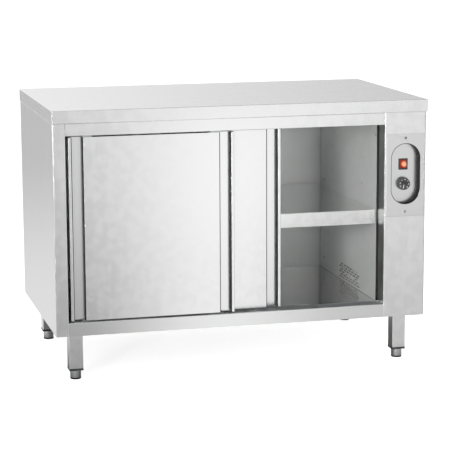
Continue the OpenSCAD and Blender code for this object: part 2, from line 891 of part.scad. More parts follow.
module control_plate() {
    color(steel) difference() {
        translate([plate_x, 0, plate_z]) block([-plate_w / 2, plate_y, -plate_h / 2],
            [plate_w / 2, plate_y + skin_t, plate_h / 2]);
        stadium_block(recess_w + 2 * ring_t, recess_h + 2 * ring_t, plate_y - 1, plate_y + 2);
        for (s = [-1, 1])
            rod_y(plate_x, plate_z + s * plate_screw_z, plate_y - 1, plate_y + 2,
                shank_r + hole_clear);
    }
}

module recess_ring() {
    color(black) difference() {
        stadium_block(recess_w + 2 * ring_t, recess_h + 2 * ring_t, plate_y, recess_floor_y);
        stadium_block(recess_w, recess_h, plate_y - 1, recess_floor_y + 1);
    }
}

module switch_plate() {
    w = switch_body_w / 2 + hole_clear;
    h = switch_body_h / 2 + hole_clear;
    color(steel) difference() {
        translate([recess_x, recess_floor_y, recess_z])
            block([-switch_plate_w / 2, 0, -switch_plate_h / 2],
                [switch_plate_w / 2, skin_t, switch_plate_h / 2]);
        translate([recess_x, recess_floor_y, switch_z]) block([-w, -1, -h], [w, skin_t + 1, h]);
        rod_y(recess_x, knob_z, recess_floor_y - 1, recess_floor_y + skin_t + 1,
            thermostat_neck_r + hole_clear);
    }
}

// A pan head screw, its head facing the front and its shank pointing back from the origin
module panel_screw() {
    rotate([90, 0, 0]) difference() {
        union() {
            cylinder(r1 = screw_head_r, r2 = screw_head_r * 0.7, h = screw_head_h);
            translate([0, 0, -shank_len]) cylinder(r = shank_r, h = shank_len);
        }
        translate([0, 0, screw_head_h]) for (a = [0, 90])
            rotate([0, 0, a]) cube([screw_head_r, 0.8, 1.4], center = true);
    }
}

module panel_screws() {
    color(bright_steel) {
        for (s = [-1, 1]) translate([plate_x, plate_y, plate_z + s * plate_screw_z]) panel_screw();
        for (p = rear_screw_places)
            translate([p[0], rear_y, p[1]]) rotate([0, 0, 180]) panel_screw();
        for (p = wall_screw_places) {
            translate([chamber_x0, p[0], p[1]]) rotate([0, 0, 90]) panel_screw();
            translate([chamber_x1, p[0], p[1]]) rotate([0, 0, -90]) panel_screw();
        }
    }
}

module thermostat_body() {
    back_y = recess_floor_y + skin_t;
    w = thermostat_w / 2;
    color(grey_plastic) difference() {
        union() {
            translate([recess_x, back_y, knob_z]) block([-w, 0, -w], [w, thermostat_d, w]);
            rod_y(recess_x, knob_z, recess_floor_y, back_y, thermostat_neck_r);
        }
        rod_y(recess_x, knob_z, recess_floor_y - 1, back_y + spindle_in_body + 1,
            spindle_r + bore_clear);
    }
}

module thermostat_spindle() {
    y0 = knob_base_y - spindle_in_knob;
    color(dull_steel) difference() {
        rod_y(recess_x, knob_z, y0, recess_floor_y + skin_t + spindle_in_body, spindle_r);
        translate([recess_x, y0, knob_z]) block([-spindle_r, -1, spindle_r - spindle_flat],
            [spindle_r, spindle_in_knob, spindle_r + 1]);
    }
}

module knob() {
    face_r = knob_r - knob_taper;
    color(black) difference() {
        translate([recess_x, knob_base_y, knob_z]) rotate([90, 0, 0]) rotate_extrude()
            polygon([[0, 0], [knob_r, 0], [face_r, knob_h - knob_chamfer],
                [face_r - knob_chamfer, knob_h], [0, knob_h]]);
        difference() {
            rod_y(recess_x, knob_z, knob_base_y - spindle_in_knob, knob_base_y + 1, spindle_r);
            translate([recess_x, knob_base_y - spindle_in_knob, knob_z])
                block([-spindle_r, -1, spindle_r - spindle_flat],
                    [spindle_r, spindle_in_knob + 2, spindle_r + 1]);
        }
    }
}

module switch_housing() {
    w = switch_body_w / 2;
    h = switch_body_h / 2;
    cavity_w = rocker_w / 2 + rocker_side_clear;
    color(black) translate([recess_x, recess_floor_y, switch_z]) difference() {
        union() {
            block([-bezel_w / 2, -bezel_t, -bezel_h / 2], [bezel_w / 2, 0, bezel_h / 2]);
            block([-w, 0, -h], [w, switch_body_d, h]);
        }
        block([-cavity_w, -bezel_t - 1, -switch_cavity_h / 2],
            [cavity_w, pivot_depth + switch_cavity_depth, switch_cavity_h / 2]);
        translate([-w - 1, pivot_depth, 0]) rotate([0, 90, 0])
            cylinder(r = pivot_r + bore_clear, h = 2 * w + 2);
    }
}

module rocker() {
    pin_len = rocker_w / 2 + rocker_side_clear + 1.6;
    color(lit_red) translate([recess_x, pivot_y, switch_z]) rotate([-rocker_tilt, 0, 0]) {
        rotate([0, -90, 0]) translate([0, 0, -rocker_w / 2]) linear_extrude(rocker_w)
            polygon([[rocker_half_h, -rocker_end], [0, -rocker_mid], [-rocker_half_h, -rocker_end],
                [1.5 - rocker_half_h, rocker_root], [rocker_half_h - 1.5, rocker_root]]);
        translate([-pin_len, 0, 0]) rotate([0, 90, 0]) cylinder(r = pivot_r, h = 2 * pin_len);
    }
}

module heater_box() {
    bush_r = shaft_r + 4;
    color(dull_steel) difference() {
        union() {
            difference() {
                block([heater_x0, heater_y0, heater_z0], [heater_x1, heater_y1, heater_z1]);
                block([heater_x0 - 1, heater_y0 + skin_t, heater_z0 + skin_t],
                    [heater_x1 - skin_t, heater_y1 - skin_t, heater_z1 - skin_t]);
            }
            rod_y(drum_x, drum_z, heater_y0, heater_y0 + bearing_t, bush_r);
        }
        rod_y(drum_x, drum_z, heater_y0 - 1, heater_y0 + bearing_t + 1, shaft_r + bore_clear);
        rod_y(drum_x, drum_z, heater_y1 - 2, heater_y1 + 1, shaft_r + 1);
        for (s = [-1, 1]) rod_y(element_x, element_z + s * element_span / 2, heater_y0 - 1,
            heater_y0 + 2, element_r + hole_clear);
        rod_y(element_x, bulb_z, heater_y0 - 1, heater_y0 + 2, capillary_r + hole_clear);
    }
}

module fan_impeller() {
    color(grey_plastic) {
        for (i = [0:blade_count - 1])
            translate([drum_x, drum_y1, drum_z]) rotate([90, 0, 0]) rotate([0, 0, i * 360 / blade_count])
                translate([drum_r - blade_w, -blade_t / 2, 0]) cube([blade_w - 0.5, blade_t, drum_len]);
        for (y = [drum_y0, (drum_y0 + drum_y1 - disc_t) / 2, drum_y1 - disc_t])
            rod_y(drum_x, drum_z, y, y + disc_t, drum_r);
        rod_y(drum_x, drum_z, heater_y0 + 1, heater_y1 + 20, shaft_r);
    }
}

module fan_motor() {
    color(dull_steel) difference() {
        union() {
            rod_y(drum_x, drum_z, heater_y1, heater_y1 + motor_len, motor_r);
            rod_y(drum_x, drum_z, heater_y1 + motor_len, heater_y1 + motor_len + 8, motor_r / 2);
        }
        rod_y(drum_x, drum_z, heater_y1 - 1, heater_y1 + 22, shaft_r + bore_clear);
    }
}

module heating_element() {
    color(dull_steel) {
        for (s = [-1, 1]) {
            z = element_z + s * element_span / 2;
            rod_y(element_x, z, heater_y0 - 4, element_bend_y, element_r);
            rod_y(element_x, z, heater_y0 - element_terminal, heater_y0 - 4, element_r / 2);
        }
        translate([element_x, element_bend_y, element_z]) rotate([0, 90, 0]) rotate_extrude(angle = 180)
            translate([element_span / 2, 0]) circle(r = element_r);
    }
}

module thermostat_sensor() {
    back_y = recess_floor_y + skin_t + thermostat_d;
    color(bulb_copper) {
        rod_y(element_x, bulb_z, bulb_y0, bulb_y0 + bulb_len, bulb_r);
        rod([[recess_x - 10, back_y, knob_z - 8], [recess_x - 10, back_y + lead_out, knob_z - 8],
            [element_x, heater_y0 - capillary_sweep, bulb_z], [element_x, bulb_y0 + bulb_r, bulb_z]],
            capillary_r);
    }
}

module terminal_block() {
    color(grey_plastic) difference() {
        translate([terminal_x, terminal_y, base_z + skin_t])
            cube([terminal_w, terminal_d, terminal_h]);
        for (i = [0:terminal_ways - 1])
            translate([terminal_x + terminal_margin + i * terminal_pitch,
                terminal_y + terminal_d / 2 + 4, terminal_top - 6])
                cylinder(r = terminal_hole_r, h = 7);
    }
}

module mains_gland() {
    color(black) translate([gland_x, gland_y, base_z]) difference() {
        union() {
            translate([0, 0, -8]) cylinder(r = gland_r + 4, h = 8, $fn = 6);
            translate([0, 0, -gland_nose]) cylinder(r1 = gland_r - 2, r2 = gland_r + 2, h = gland_nose - 8);
            cylinder(r = gland_r, h = gland_top - base_z);
            translate([0, 0, skin_t]) cylinder(r = gland_r + 4, h = 5, $fn = 6);
        }
        translate([0, 0, -gland_nose - 1])
            cylinder(r = gland_bore_r, h = gland_nose + gland_top - base_z + 2);
    }
}

module wiring_loom() {
    switch_back = recess_floor_y + switch_body_d;
    thermostat_back = recess_floor_y + skin_t + thermostat_d;
    lead_y = terminal_y + 5;
    supply_x = terminal_x + terminal_w - terminal_margin;
    motor_x = terminal_x + terminal_margin;
    color(black) {
        rod([[supply_x, lead_y, terminal_top], [supply_x, lead_y, switch_z + 6],
            [recess_x + 6, switch_back + lead_out, switch_z + 6],
            [recess_x + 6, switch_back, switch_z + 6]],
            lead_r);
        rod([[recess_x - 6, switch_back, switch_z - 6], [recess_x - 6, thermostat_back + 12, switch_z - 6],
            [recess_x + 8, thermostat_back + 12, knob_z + 8], [recess_x + 8, thermostat_back, knob_z + 8]],
            lead_r);
        rod([[recess_x + 10, thermostat_back, knob_z - 8],
            [recess_x + 10, thermostat_back + lead_out, knob_z - 8],
            [element_x, heater_y0 - element_terminal - 16, element_z + element_span / 2],
            [element_x, heater_y0 - element_terminal, element_z + element_span / 2]], lead_r);
        rod([[motor_x, lead_y, terminal_top], [motor_x, lead_y, drum_z],
            [drum_x, lead_y, drum_z], [drum_x, heater_y1 + motor_len + 8, drum_z]], lead_r);
    }
}

// The front sheet of a door, folded into a lip and a grip groove at each side
module door_skin(x, y) {
    back = door_t - skin_t;
    color(bright_steel) translate([x, y, door_z]) {
        block([groove_x1, 0, 0], [door_w - groove_x1, skin_t, door_h]);
        for (z = [0, door_h - skin_t])
            block([groove_x1 + skin_t, skin_t, z], [door_w - groove_x1 - skin_t, back, z + skin_t]);
        for (side = [0, 1]) translate([side * door_w, 0, 0]) mirror([side, 0, 0]) {
            block([0, 0, 0], [skin_t, back, door_h]);
            block([0, 0, 0], [groove_x0, skin_t, door_h]);
            block([groove_x0 - skin_t, 0, 0], [groove_x0, groove_back, door_h]);
            block([groove_x0 - skin_t, grip_depth, 0], [groove_x1 + skin_t, groove_back, door_h]);
            block([groove_x1, 0, 0], [groove_x1 + skin_t, groove_back, door_h]);
        }
    }
}

module door_back(x, y) {
    color(steel) translate([x, y, door_z])
        block([0, door_t - skin_t, 0], [door_w, door_t, door_h]);
}

module door_core(x, y) {
    inset = groove_x1 + skin_t;
    color(wool) translate([x, y, door_z])
        block([inset, skin_t, skin_t], [door_w - inset, door_t - skin_t, door_h - skin_t]);
}

module door_grip_liners(x, y) {
    color(black) translate([x, y, door_z]) for (side = [0, 1])
        translate([side * door_w, 0, 0]) mirror([side, 0, 0])
            for (liner_x = [groove_x0, groove_x1 - grip_liner_t])
                block([liner_x, grip_liner_setback, 0], [liner_x + grip_liner_t, grip_depth, door_h]);
}

module door_hangers(x, y) {
    foot_d = 15;
    head_r = stud_r + 2;
    color(dull_steel) for (hx = hanger_x) translate([x + hx, y, door_z + door_h]) {
        block([-hanger_w / 2, hanger_y, 0], [hanger_w / 2, hanger_y + foot_d, hanger_t]);
        block([-hanger_w / 2, hanger_y, 0],
            [hanger_w / 2, hanger_y + hanger_t, wheel_rise + stud_r + 4]);
        rod_y(0, wheel_rise, hanger_y + hanger_t, hanger_y + hanger_t + stud_shoulder, head_r);
        rod_y(0, wheel_rise, hanger_y + hanger_t, wheel_y1 + wheel_side_clear, stud_r);
        rod_y(0, wheel_rise, wheel_y1 + wheel_side_clear,
            wheel_y1 + wheel_side_clear + stud_head_t, head_r);
    }
}

module door_guide_shoes(x, y) {
    bottom = guide_floor_z + guide_t + shoe_clear;
    color(grey_plastic) for (hx = hanger_x) translate([x + hx, y, 0])
        block([-shoe_len / 2, shoe_y0, bottom], [shoe_len / 2, shoe_y0 + shoe_w, door_z]);
}

module door_wheel(x, y, index) {
    flange_r = wheel_r + wheel_flange_h;
    color(grey_plastic) translate([x + hanger_x[index], y + wheel_y0, wheel_z]) rotate([-90, 0, 0])
        rotate_extrude() polygon([[stud_r + bore_clear, 0], [flange_r, 0],
            [flange_r, wheel_flange_w], [wheel_r, wheel_flange_w],
            [wheel_r, wheel_flange_w + wheel_w], [stud_r + bore_clear, wheel_flange_w + wheel_w]]);
}

module front_door_skin() {
    door_skin(front_door_x, front_door_y);
}

module front_door_back() {
    door_back(front_door_x, front_door_y);
}

module front_door_core() {
    door_core(front_door_x, front_door_y);
}

module front_door_grip_liners() {
    door_grip_liners(front_door_x, front_door_y);
}

module front_door_hangers() {
    door_hangers(front_door_x, front_door_y);
}

module front_door_guide_shoes() {
    door_guide_shoes(front_door_x, front_door_y);
}

module front_door_left_wheel() {
    door_wheel(front_door_x, front_door_y, 0);
}

module front_door_right_wheel() {
    door_wheel(front_door_x, front_door_y, 1);
}

module rear_door_skin() {
    door_skin(rear_door_x, rear_door_y);
}

module rear_door_back() {
    door_back(rear_door_x, rear_door_y);
}

module rear_door_core() {
    door_core(rear_door_x, rear_door_y);
}

module rear_door_grip_liners() {
    door_grip_liners(rear_door_x, rear_door_y);
}

module rear_door_hangers() {
    door_hangers(rear_door_x, rear_door_y);
}

module rear_door_guide_shoes() {
    door_guide_shoes(rear_door_x, rear_door_y);
}

module rear_door_left_wheel() {
    door_wheel(rear_door_x, rear_door_y, 0);
}

module rear_door_right_wheel() {
    door_wheel(rear_door_x, rear_door_y, 1);
}

worktop();
worktop_stiffeners();
left_side_panel();
right_side_panel();
rear_panel();
base_panel();
top_rail();
bottom_rail();
left_stile();
control_column();
inner_left_wall();
inner_right_wall();
inner_rear_wall();
inner_floor();
inner_ceiling();
insulation();
top_track();
bottom_guide_channel();
closing_seals();
legs();
leg_caps();
shelf_pegs();
control_plate();
recess_ring();
switch_plate();
panel_screws();
thermostat_body();
thermostat_sensor();
switch_housing();
heater_box();
fan_motor();
heating_element();
terminal_block();
mains_gland();
wiring_loom();
shelf();
knob();
thermostat_spindle();
rocker();
fan_impeller();
foot_front_left();
foot_front_right();
foot_rear_left();
foot_rear_right();
front_door_skin();
front_door_back();
front_door_core();
front_door_grip_liners();
front_door_hangers();
front_door_guide_shoes();
front_door_left_wheel();
front_door_right_wheel();
rear_door_skin();
rear_door_back();
rear_door_core();
rear_door_grip_liners();
rear_door_hangers();
rear_door_guide_shoes();
rear_door_left_wheel();
rear_door_right_wheel();
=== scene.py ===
"""Looks of a heated plate warmer cabinet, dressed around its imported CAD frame."""
import json
import logging
import math
from dataclasses import dataclass
from enum import Enum
from typing import Callable, Sequence

import bmesh
import bpy
from mathutils import Matrix, Vector


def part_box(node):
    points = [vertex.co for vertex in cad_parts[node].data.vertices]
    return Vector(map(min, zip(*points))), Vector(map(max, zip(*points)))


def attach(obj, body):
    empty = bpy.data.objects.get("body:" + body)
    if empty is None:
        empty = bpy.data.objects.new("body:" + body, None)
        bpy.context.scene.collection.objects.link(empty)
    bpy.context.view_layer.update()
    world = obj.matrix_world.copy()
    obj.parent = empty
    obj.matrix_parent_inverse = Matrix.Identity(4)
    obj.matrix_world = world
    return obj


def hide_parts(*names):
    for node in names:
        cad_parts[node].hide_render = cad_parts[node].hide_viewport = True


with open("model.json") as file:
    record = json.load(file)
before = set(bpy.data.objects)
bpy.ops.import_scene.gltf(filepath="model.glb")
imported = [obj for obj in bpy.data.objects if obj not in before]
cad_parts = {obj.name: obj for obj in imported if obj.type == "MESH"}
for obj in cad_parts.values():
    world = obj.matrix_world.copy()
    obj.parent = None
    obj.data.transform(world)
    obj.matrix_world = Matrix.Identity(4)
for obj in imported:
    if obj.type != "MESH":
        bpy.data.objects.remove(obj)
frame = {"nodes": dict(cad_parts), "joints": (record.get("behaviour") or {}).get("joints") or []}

LOG = logging.getLogger("plate_warmer")
MM = 0.001
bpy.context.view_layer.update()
Colour = tuple[float, float, float]
Point = tuple[float, float]
Place = tuple[float, float, float]
Ramp = tuple[float, float, float, float]
# Two places closer than this are one place.
TOUCH = 0.01 * MM
# An edge longer than this runs along the whole sheet.
LONG = 0.5
# A face whose normal comes this near to an axis lies square to it.
SQUARE = 0.9


class Axis(Enum):
    """One of the three axes of the frame, as its index."""

    X = 0
    Y = 1
    Z = 2

    def vector(self) -> Vector:
        """Returns the unit vector along this axis."""
        return Vector([1.0 if i == self.value else 0.0 for i in range(3)])


class Value:
    """A shader socket that takes part in Python arithmetic."""

    def __init__(self, graph: "Graph", socket: bpy.types.NodeSocket) -> None:
        """Keeps the socket and the graph that it belongs to."""
        self.graph = graph
        self.socket = socket

    def _do(self, operation: str, *values: "Value | float") -> "Value":
        """Returns the result of one Math node."""
        inputs = dict(enumerate(values))
        return self.graph.node("Math", {"operation": operation}, inputs)

    def __add__(self, other: "Value | float") -> "Value":
        """Adds a value or number."""
        return self._do("ADD", self, other)

    __radd__ = __add__

    def __sub__(self, other: "Value | float") -> "Value":
        """Takes a value or number away."""
        return self._do("SUBTRACT", self, other)

    def __rsub__(self, other: float) -> "Value":
        """Takes this value away from a number."""
        return self._do("SUBTRACT", other, self)

    def __mul__(self, other: "Value | float") -> "Value":
        """Multiplies by a value or number."""
        return self._do("MULTIPLY", self, other)

    __rmul__ = __mul__

    def __truediv__(self, other: "Value | float") -> "Value":
        """Divides by a value or number."""
        return self._do("DIVIDE", self, other)

    def __pow__(self, power: float) -> "Value":
        """Raises this value to a power."""
        return self._do("POWER", self, power)

    def least(self, other: "Value | float") -> "Value":
        """Returns the smaller of this and another value."""
        return self._do("MINIMUM", self, other)

    def most(self, other: "Value | float") -> "Value":
        """Returns the larger of this and another value."""
        return self._do("MAXIMUM", self, other)

    def distance(self) -> "Value":
        """Returns this value without its sign."""
        return self._do("ABSOLUTE", self)

    def ramp(self, start: float, end: float, low: float = 0.0, high: float = 1.0) -> "Value":
        """Maps start to low and end to high with a smooth step.

        Args:
            start: Value that gives low.
            end: Value that gives high.
            low: Result at and before start.
            high: Result at and after end.

        Returns:
            The mapped value.
        """
        inputs = {"Value": self, "From Min": start, "From Max": end, "To Min": low, "To Max": high}
        return self.graph.node("MapRange", {"interpolation_type": "SMOOTHSTEP"}, inputs)


class Graph:
    """The node tree of one material or world."""

    # A box is too thin for worn edges below this many rim widths.
    thin = 4

    def __init__(self, tree: bpy.types.NodeTree) -> None:
        """Empties the tree."""
        self.tree = tree
        tree.nodes.clear()

    def node(self, kind: str, settings: dict | None = None, inputs: dict | None = None,
             output: int | str = 0) -> Value:
        """Makes any node.

        Args:
            kind: The node's type without its ShaderNode prefix.
            settings: Properties of the node, which are set first.
            inputs: Values or links of its sockets, by name or index.
            output: The socket to return.

        Returns:
            The chosen output of the new node.
        """
        made = self.tree.nodes.new("ShaderNode" + kind)
        for key, value in (settings or {}).items():
            setattr(made, key, value)
        for key, value in (inputs or {}).items():
            if isinstance(value, Value):
                self.tree.links.new(value.socket, made.inputs[key])
            else:
                made.inputs[key].default_value = value
        return Value(self, made.outputs[output] if len(made.outputs) else None)

    def rays(self) -> tuple[Value, Value]:
        """Returns whether a camera ray, or a mirrored or refracted one, meets the shader."""
        seen = self.node("LightPath", output="Is Camera Ray")
        outputs = seen.socket.node.outputs
        glossy = Value(self, outputs["Is Glossy Ray"])
        return seen, glossy.most(Value(self, outputs["Is Transmission Ray"]))

    def place(self) -> Value:
        """Returns the Object coordinates, which are places in the frame."""
        return self.node("TexCoord", output="Object")

    def parts(self, vector: Value) -> tuple[Value, Value, Value]:
        """Returns the three numbers of a vector."""
        split = self.node("SeparateXYZ", inputs={0: vector})
        outputs = split.socket.node.outputs
        return split, Value(self, outputs[1]), Value(self, outputs[2])

    def noise(self, scale: float | Sequence[float], detail: float = 2.0,
              shift: float = 0.0) -> Value:
        """Returns noise whose grain is even, or set apart along each axis.

        Args:
            scale: Features per metre, one for all axes or one each along X, Y and Z.
            detail: Octaves of finer noise.
            shift: Offset that makes one noise unlike another.

        Returns:
            A value about one half.
        """
        each = (scale,) * 3 if isinstance(scale, float) else tuple(scale)
        spot = self.node("Mapping", inputs={"Vector": self.place(), "Scale": each,
                                            "Location": (shift, shift, shift)})
        return self.node("TexNoise", inputs={"Vector": spot, "Scale": 1.0, "Detail": detail})

    def blend(self, share: Value | float, a: Value | Colour, b: Value | Colour) -> Value:
        """Returns a colour between a and b."""
        inputs = {0: share, 6: a if isinstance(a, Value) else (*a, 1.0),
                  7: b if isinstance(b, Value) else (*b, 1.0)}
        return self.node("Mix", {"data_type": "RGBA"}, inputs, 2)

    def bump(self, height: Value, depth: float, strength: float = 1.0) -> Value:
        """Returns a normal that a height in the range 0 to 1 bends, depth metres deep."""
        return self.node("Bump", inputs={"Height": height, "Distance": depth, "Strength": strength})

    def rim(self, lo: Vector, hi: Vector, width: float) -> Value:
        """Returns how near a point is to the edges of a piece's box.

        Args:
            lo: Lowest corner of the box.
            hi: Highest corner of the box.
            width: Distance at which the nearness is gone.

        Returns:
            1 at an edge, 0 away from it.
        """
        near = []
        for value, low, high in zip(self.parts(self.place()), lo, hi):
            if high - low < self.thin * width:
                continue
            middle, half = (low + high) / 2, (high - low) / 2
            near.append((value - middle).distance().ramp(half - width, half))
        total = near[0]
        for value in near[1:]:
            total = total.most(value)
        return total

    def surface(self, inputs: dict) -> None:
        """Ends a material with one Principled shader."""
        shader = self.node("BsdfPrincipled", inputs=inputs)
        self.node("OutputMaterial", inputs={"Surface": shader})


def new_graph(name: str) -> tuple[bpy.types.Material, Graph]:
    """Returns a new node material and its graph."""
    made = bpy.data.materials.new(name)
    made.use_nodes = True
    return made, Graph(made.node_tree)


def tinted(tone: Colour, factor: float, limit: float = math.inf) -> Colour:
    """Returns a colour made lighter or darker by a factor, up to a limit."""
    return tuple(min(limit, factor * c) for c in tone)


@dataclass(frozen=True)
class BrushedSteel:
    """Stainless sheet with a drawn grain, wiping streaks and edges worn bright."""

    tone: Colour = (0.76, 0.765, 0.76)
    roughness: float = 0.24
    grain: Axis = Axis.X
    wear: float = 0.5
    handled: float = 0.008
    metal: float = 1.0
    grain_scale: Point = (9.0, 2200.0)
    streak_scale: Point = (0.9, 90.0)
    cloud_scale: float = 1.3
    wipe_scale: float = 7.0
    wear_scale: float = 30.0
    rim: float = 1.6 * MM
    shade_share: tuple[float, float, float] = (0.4, 0.2, 0.12)
    rough_share: tuple[float, float, float] = (0.03, 0.02, 0.01)
    worn_rough: float = 0.06
    brush_depth: float = 0.0002 * MM
    brush_strength: float = 0.08

    def drawn(self, scale: Point) -> list[float]:
        """Returns a pattern's scale along X, Y and Z from its scale along and across."""
        return [scale[0] if i == self.grain.value else scale[1] for i in range(3)]

    def make(self, name: str, lo: Vector, hi: Vector) -> bpy.types.Material:
        """Makes the material for one piece.

        Args:
            name: Name of the material.
            lo: Lowest corner of the piece.
            hi: Highest corner of the piece.

        Returns:
            The finished material.
        """
        made, graph = new_graph(name)
        grain = graph.noise(self.drawn(self.grain_scale), 2.0)
        streaks = graph.noise(self.drawn(self.streak_scale), 1.0, 7.0)
        cloud = graph.noise(self.cloud_scale, 1.0, 3.0)
        wiped = graph.noise(self.wipe_scale, 2.0, 11.0).ramp(0.5, 0.8)
        edge = graph.rim(lo, hi, self.rim)
        worn = edge * graph.noise(self.wear_scale, 2.0, 5.0).ramp(0.4, 0.6) * self.wear
        by_streak, by_cloud, by_grain = self.shade_share
        shade = (streaks - 0.5) * by_streak + (cloud - 0.5) * by_cloud + (grain - 0.5) * by_grain
        colour = graph.blend((shade + 0.5).least(1.0).most(0.0), tinted(self.tone, 0.95),
                             tinted(self.tone, 1.05, 1.0))
        colour = graph.blend(worn * 0.5, colour, tinted(self.tone, 1.16, 1.0))
        by_streak, by_grain, by_cloud = self.rough_share
        rough = (streaks - 0.5) * by_streak + (grain - 0.5) * by_grain + (cloud - 0.5) * by_cloud
        rough = rough + wiped * self.handled + worn * self.worn_rough + self.roughness
        brushed = graph.bump(grain, self.brush_depth, self.brush_strength)
        graph.surface({"Base Color": colour, "Metallic": self.metal, "Roughness": rough,
                       "Normal": brushed})
        return made


@dataclass(frozen=True)
class PlatedSteel:
    """Zinc plated or galvanised steel with its faint crystals and dull patches."""

    tone: Colour = (0.58, 0.6, 0.62)
    roughness: float = 0.36
    rubbed: Colour = (0.78, 0.79, 0.8)
    spangle_scale: float = 160.0
    cloud_scale: float = 24.0
    rim: float = 1.2 * MM
    dents: float = 0.05 * MM

    def make(self, name: str, lo: Vector, hi: Vector) -> bpy.types.Material:
        """Makes the material for one piece."""
        made, graph = new_graph(name)
        spangle = graph.node("TexVoronoi", output="Distance",
                             inputs={"Vector": graph.place(), "Scale": self.spangle_scale})
        cloud = graph.noise(self.cloud_scale, 4.0)
        worn = graph.rim(lo, hi, self.rim) * cloud.ramp(0.4, 0.6)
        colour = graph.blend(cloud * 0.6 + spangle * 0.4, tinted(self.tone, 0.8), self.tone)
        colour = graph.blend(worn * 0.6, colour, self.rubbed)
        rough = (cloud - 0.5) * 0.24 + spangle * 0.08 + self.roughness
        graph.surface({"Base Color": colour, "Metallic": 1.0, "Roughness": rough,
                       "Normal": graph.bump(cloud, self.dents, 0.5)})
        return made


@dataclass(frozen=True)
class MouldedPlastic:
    """Moulded plastic or rubber with a fine spark-eroded texture and rubbed edges."""

    tone: Colour = (0.02, 0.02, 0.021)
    roughness: float = 0.42
    texture: float = 0.03
    rubbed: Colour = (0.07, 0.07, 0.072)
    sheen: float = 0.45
    pit_scale: float = 2400.0
    cloud_scale: float = 45.0
    dust_scale: float = 320.0
    rim: float = 0.9 * MM

    def make(self, name: str, lo: Vector, hi: Vector) -> bpy.types.Material:
        """Makes the material for one piece."""
        made, graph = new_graph(name)
        pits = graph.noise(self.pit_scale, 2.0)
        cloud = graph.noise(self.cloud_scale, 3.0, 2.0)
        dust = graph.noise(self.dust_scale, 2.0, 9.0).ramp(0.6, 0.75)
        worn = graph.rim(lo, hi, self.rim) * cloud.ramp(0.42, 0.62)
        colour = graph.blend(cloud * 0.5, self.tone, tinted(self.tone, 1.35))
        colour = graph.blend(worn * 0.6 + dust * 0.08, colour, self.rubbed)
        rough = (cloud - 0.5) * 0.18 + dust * 0.1 + self.roughness
        graph.surface({"Base Color": colour, "Specular IOR Level": self.sheen,
                       "Roughness": rough, "Normal": graph.bump(pits, self.texture * MM, 0.5)})
        return made


@dataclass(frozen=True)
class LitPlastic:
    """Translucent rocker plastic with a small lamp glowing behind it."""

    lamp: Place = (0.0, 0.0, 0.0)
    reach: float = 13 * MM
    core: float = 1.5 * MM
    roughness: float = 0.22
    haze_scale: float = 260.0
    brightness: float = 0.9
    body_tones: tuple[Colour, Colour] = ((0.16, 0.012, 0.006), (0.9, 0.2, 0.09))
    glow_tones: tuple[Colour, Colour] = ((0.05, 0.003, 0.001), (1.0, 0.33, 0.17))

    def make(self, name: str, lo: Vector, hi: Vector) -> bpy.types.Material:
        """Makes the material for one piece."""
        made, graph = new_graph(name)
        centre = graph.node("VectorMath", {"operation": "SUBTRACT"},
                            {0: graph.place(), 1: self.lamp})
        away = graph.node("VectorMath", {"operation": "LENGTH"}, {0: centre}, "Value")
        glow = away.ramp(self.reach, self.core)
        haze = graph.noise(self.haze_scale, 3.0)
        lit = (glow + (haze - 0.5) * 0.25).least(1.0).most(0.0)
        colour = graph.blend(lit, *self.body_tones)
        shine = graph.blend(lit ** 2.2, *self.glow_tones)
        graph.surface({"Base Color": colour, "Roughness": (haze - 0.5) * 0.1 + self.roughness,
                       "Emission Color": shine, "Emission Strength": self.brightness,
                       "Normal": graph.bump(haze, 0.02 * MM, 0.4)})
        return made


@dataclass(frozen=True)
class Wool:
    """Pressed mineral wool with its long fibres, in a near-black tone that is painted shade where
    it shows through holes and slots.
    """

    # Near-black tone: painted shade where the wool shows through the chamber's holes and slots.
    tone: Colour = (0.05, 0.045, 0.04)
    roughness: float = 0.85
    along: float = 60.0
    across: float = 900.0
    tuft_scale: float = 70.0
    pile: float = 1.2 * MM

    def make(self, name: str, lo: Vector, hi: Vector) -> bpy.types.Material:
        """Makes the material for one piece."""
        made, graph = new_graph(name)
        crossing = graph.noise((self.across, self.along, self.across), 4.0)
        fibres = graph.noise((self.along, self.across, self.across), 4.0, 4.0)
        tufts = graph.noise(self.tuft_scale, 4.0, 8.0)
        depth = fibres * 0.5 + crossing * 0.5
        colour = graph.blend(depth * 0.6 + tufts * 0.4, tinted(self.tone, 0.55), self.tone)
        graph.surface({"Base Color": colour, "Roughness": tufts * 0.1 + self.roughness,
                       "Normal": graph.bump(depth + tufts, self.pile, 0.8)})
        return made


Finish = BrushedSteel | PlatedSteel | MouldedPlastic | LitPlastic | Wool

DOOR_STEEL = BrushedSteel((0.8, 0.805, 0.8), 0.22, Axis.Z, 0.5)
PANEL_STEEL = BrushedSteel((0.79, 0.795, 0.79), 0.22, Axis.Z, 0.5)
RAIL_STEEL = BrushedSteel((0.79, 0.795, 0.79), 0.22, Axis.X, 0.5)
PLATE_STEEL = BrushedSteel((0.71, 0.715, 0.71), 0.26, Axis.X, 0.5)
TOP_STEEL = BrushedSteel((0.79, 0.795, 0.79), 0.24, Axis.X, 0.5)
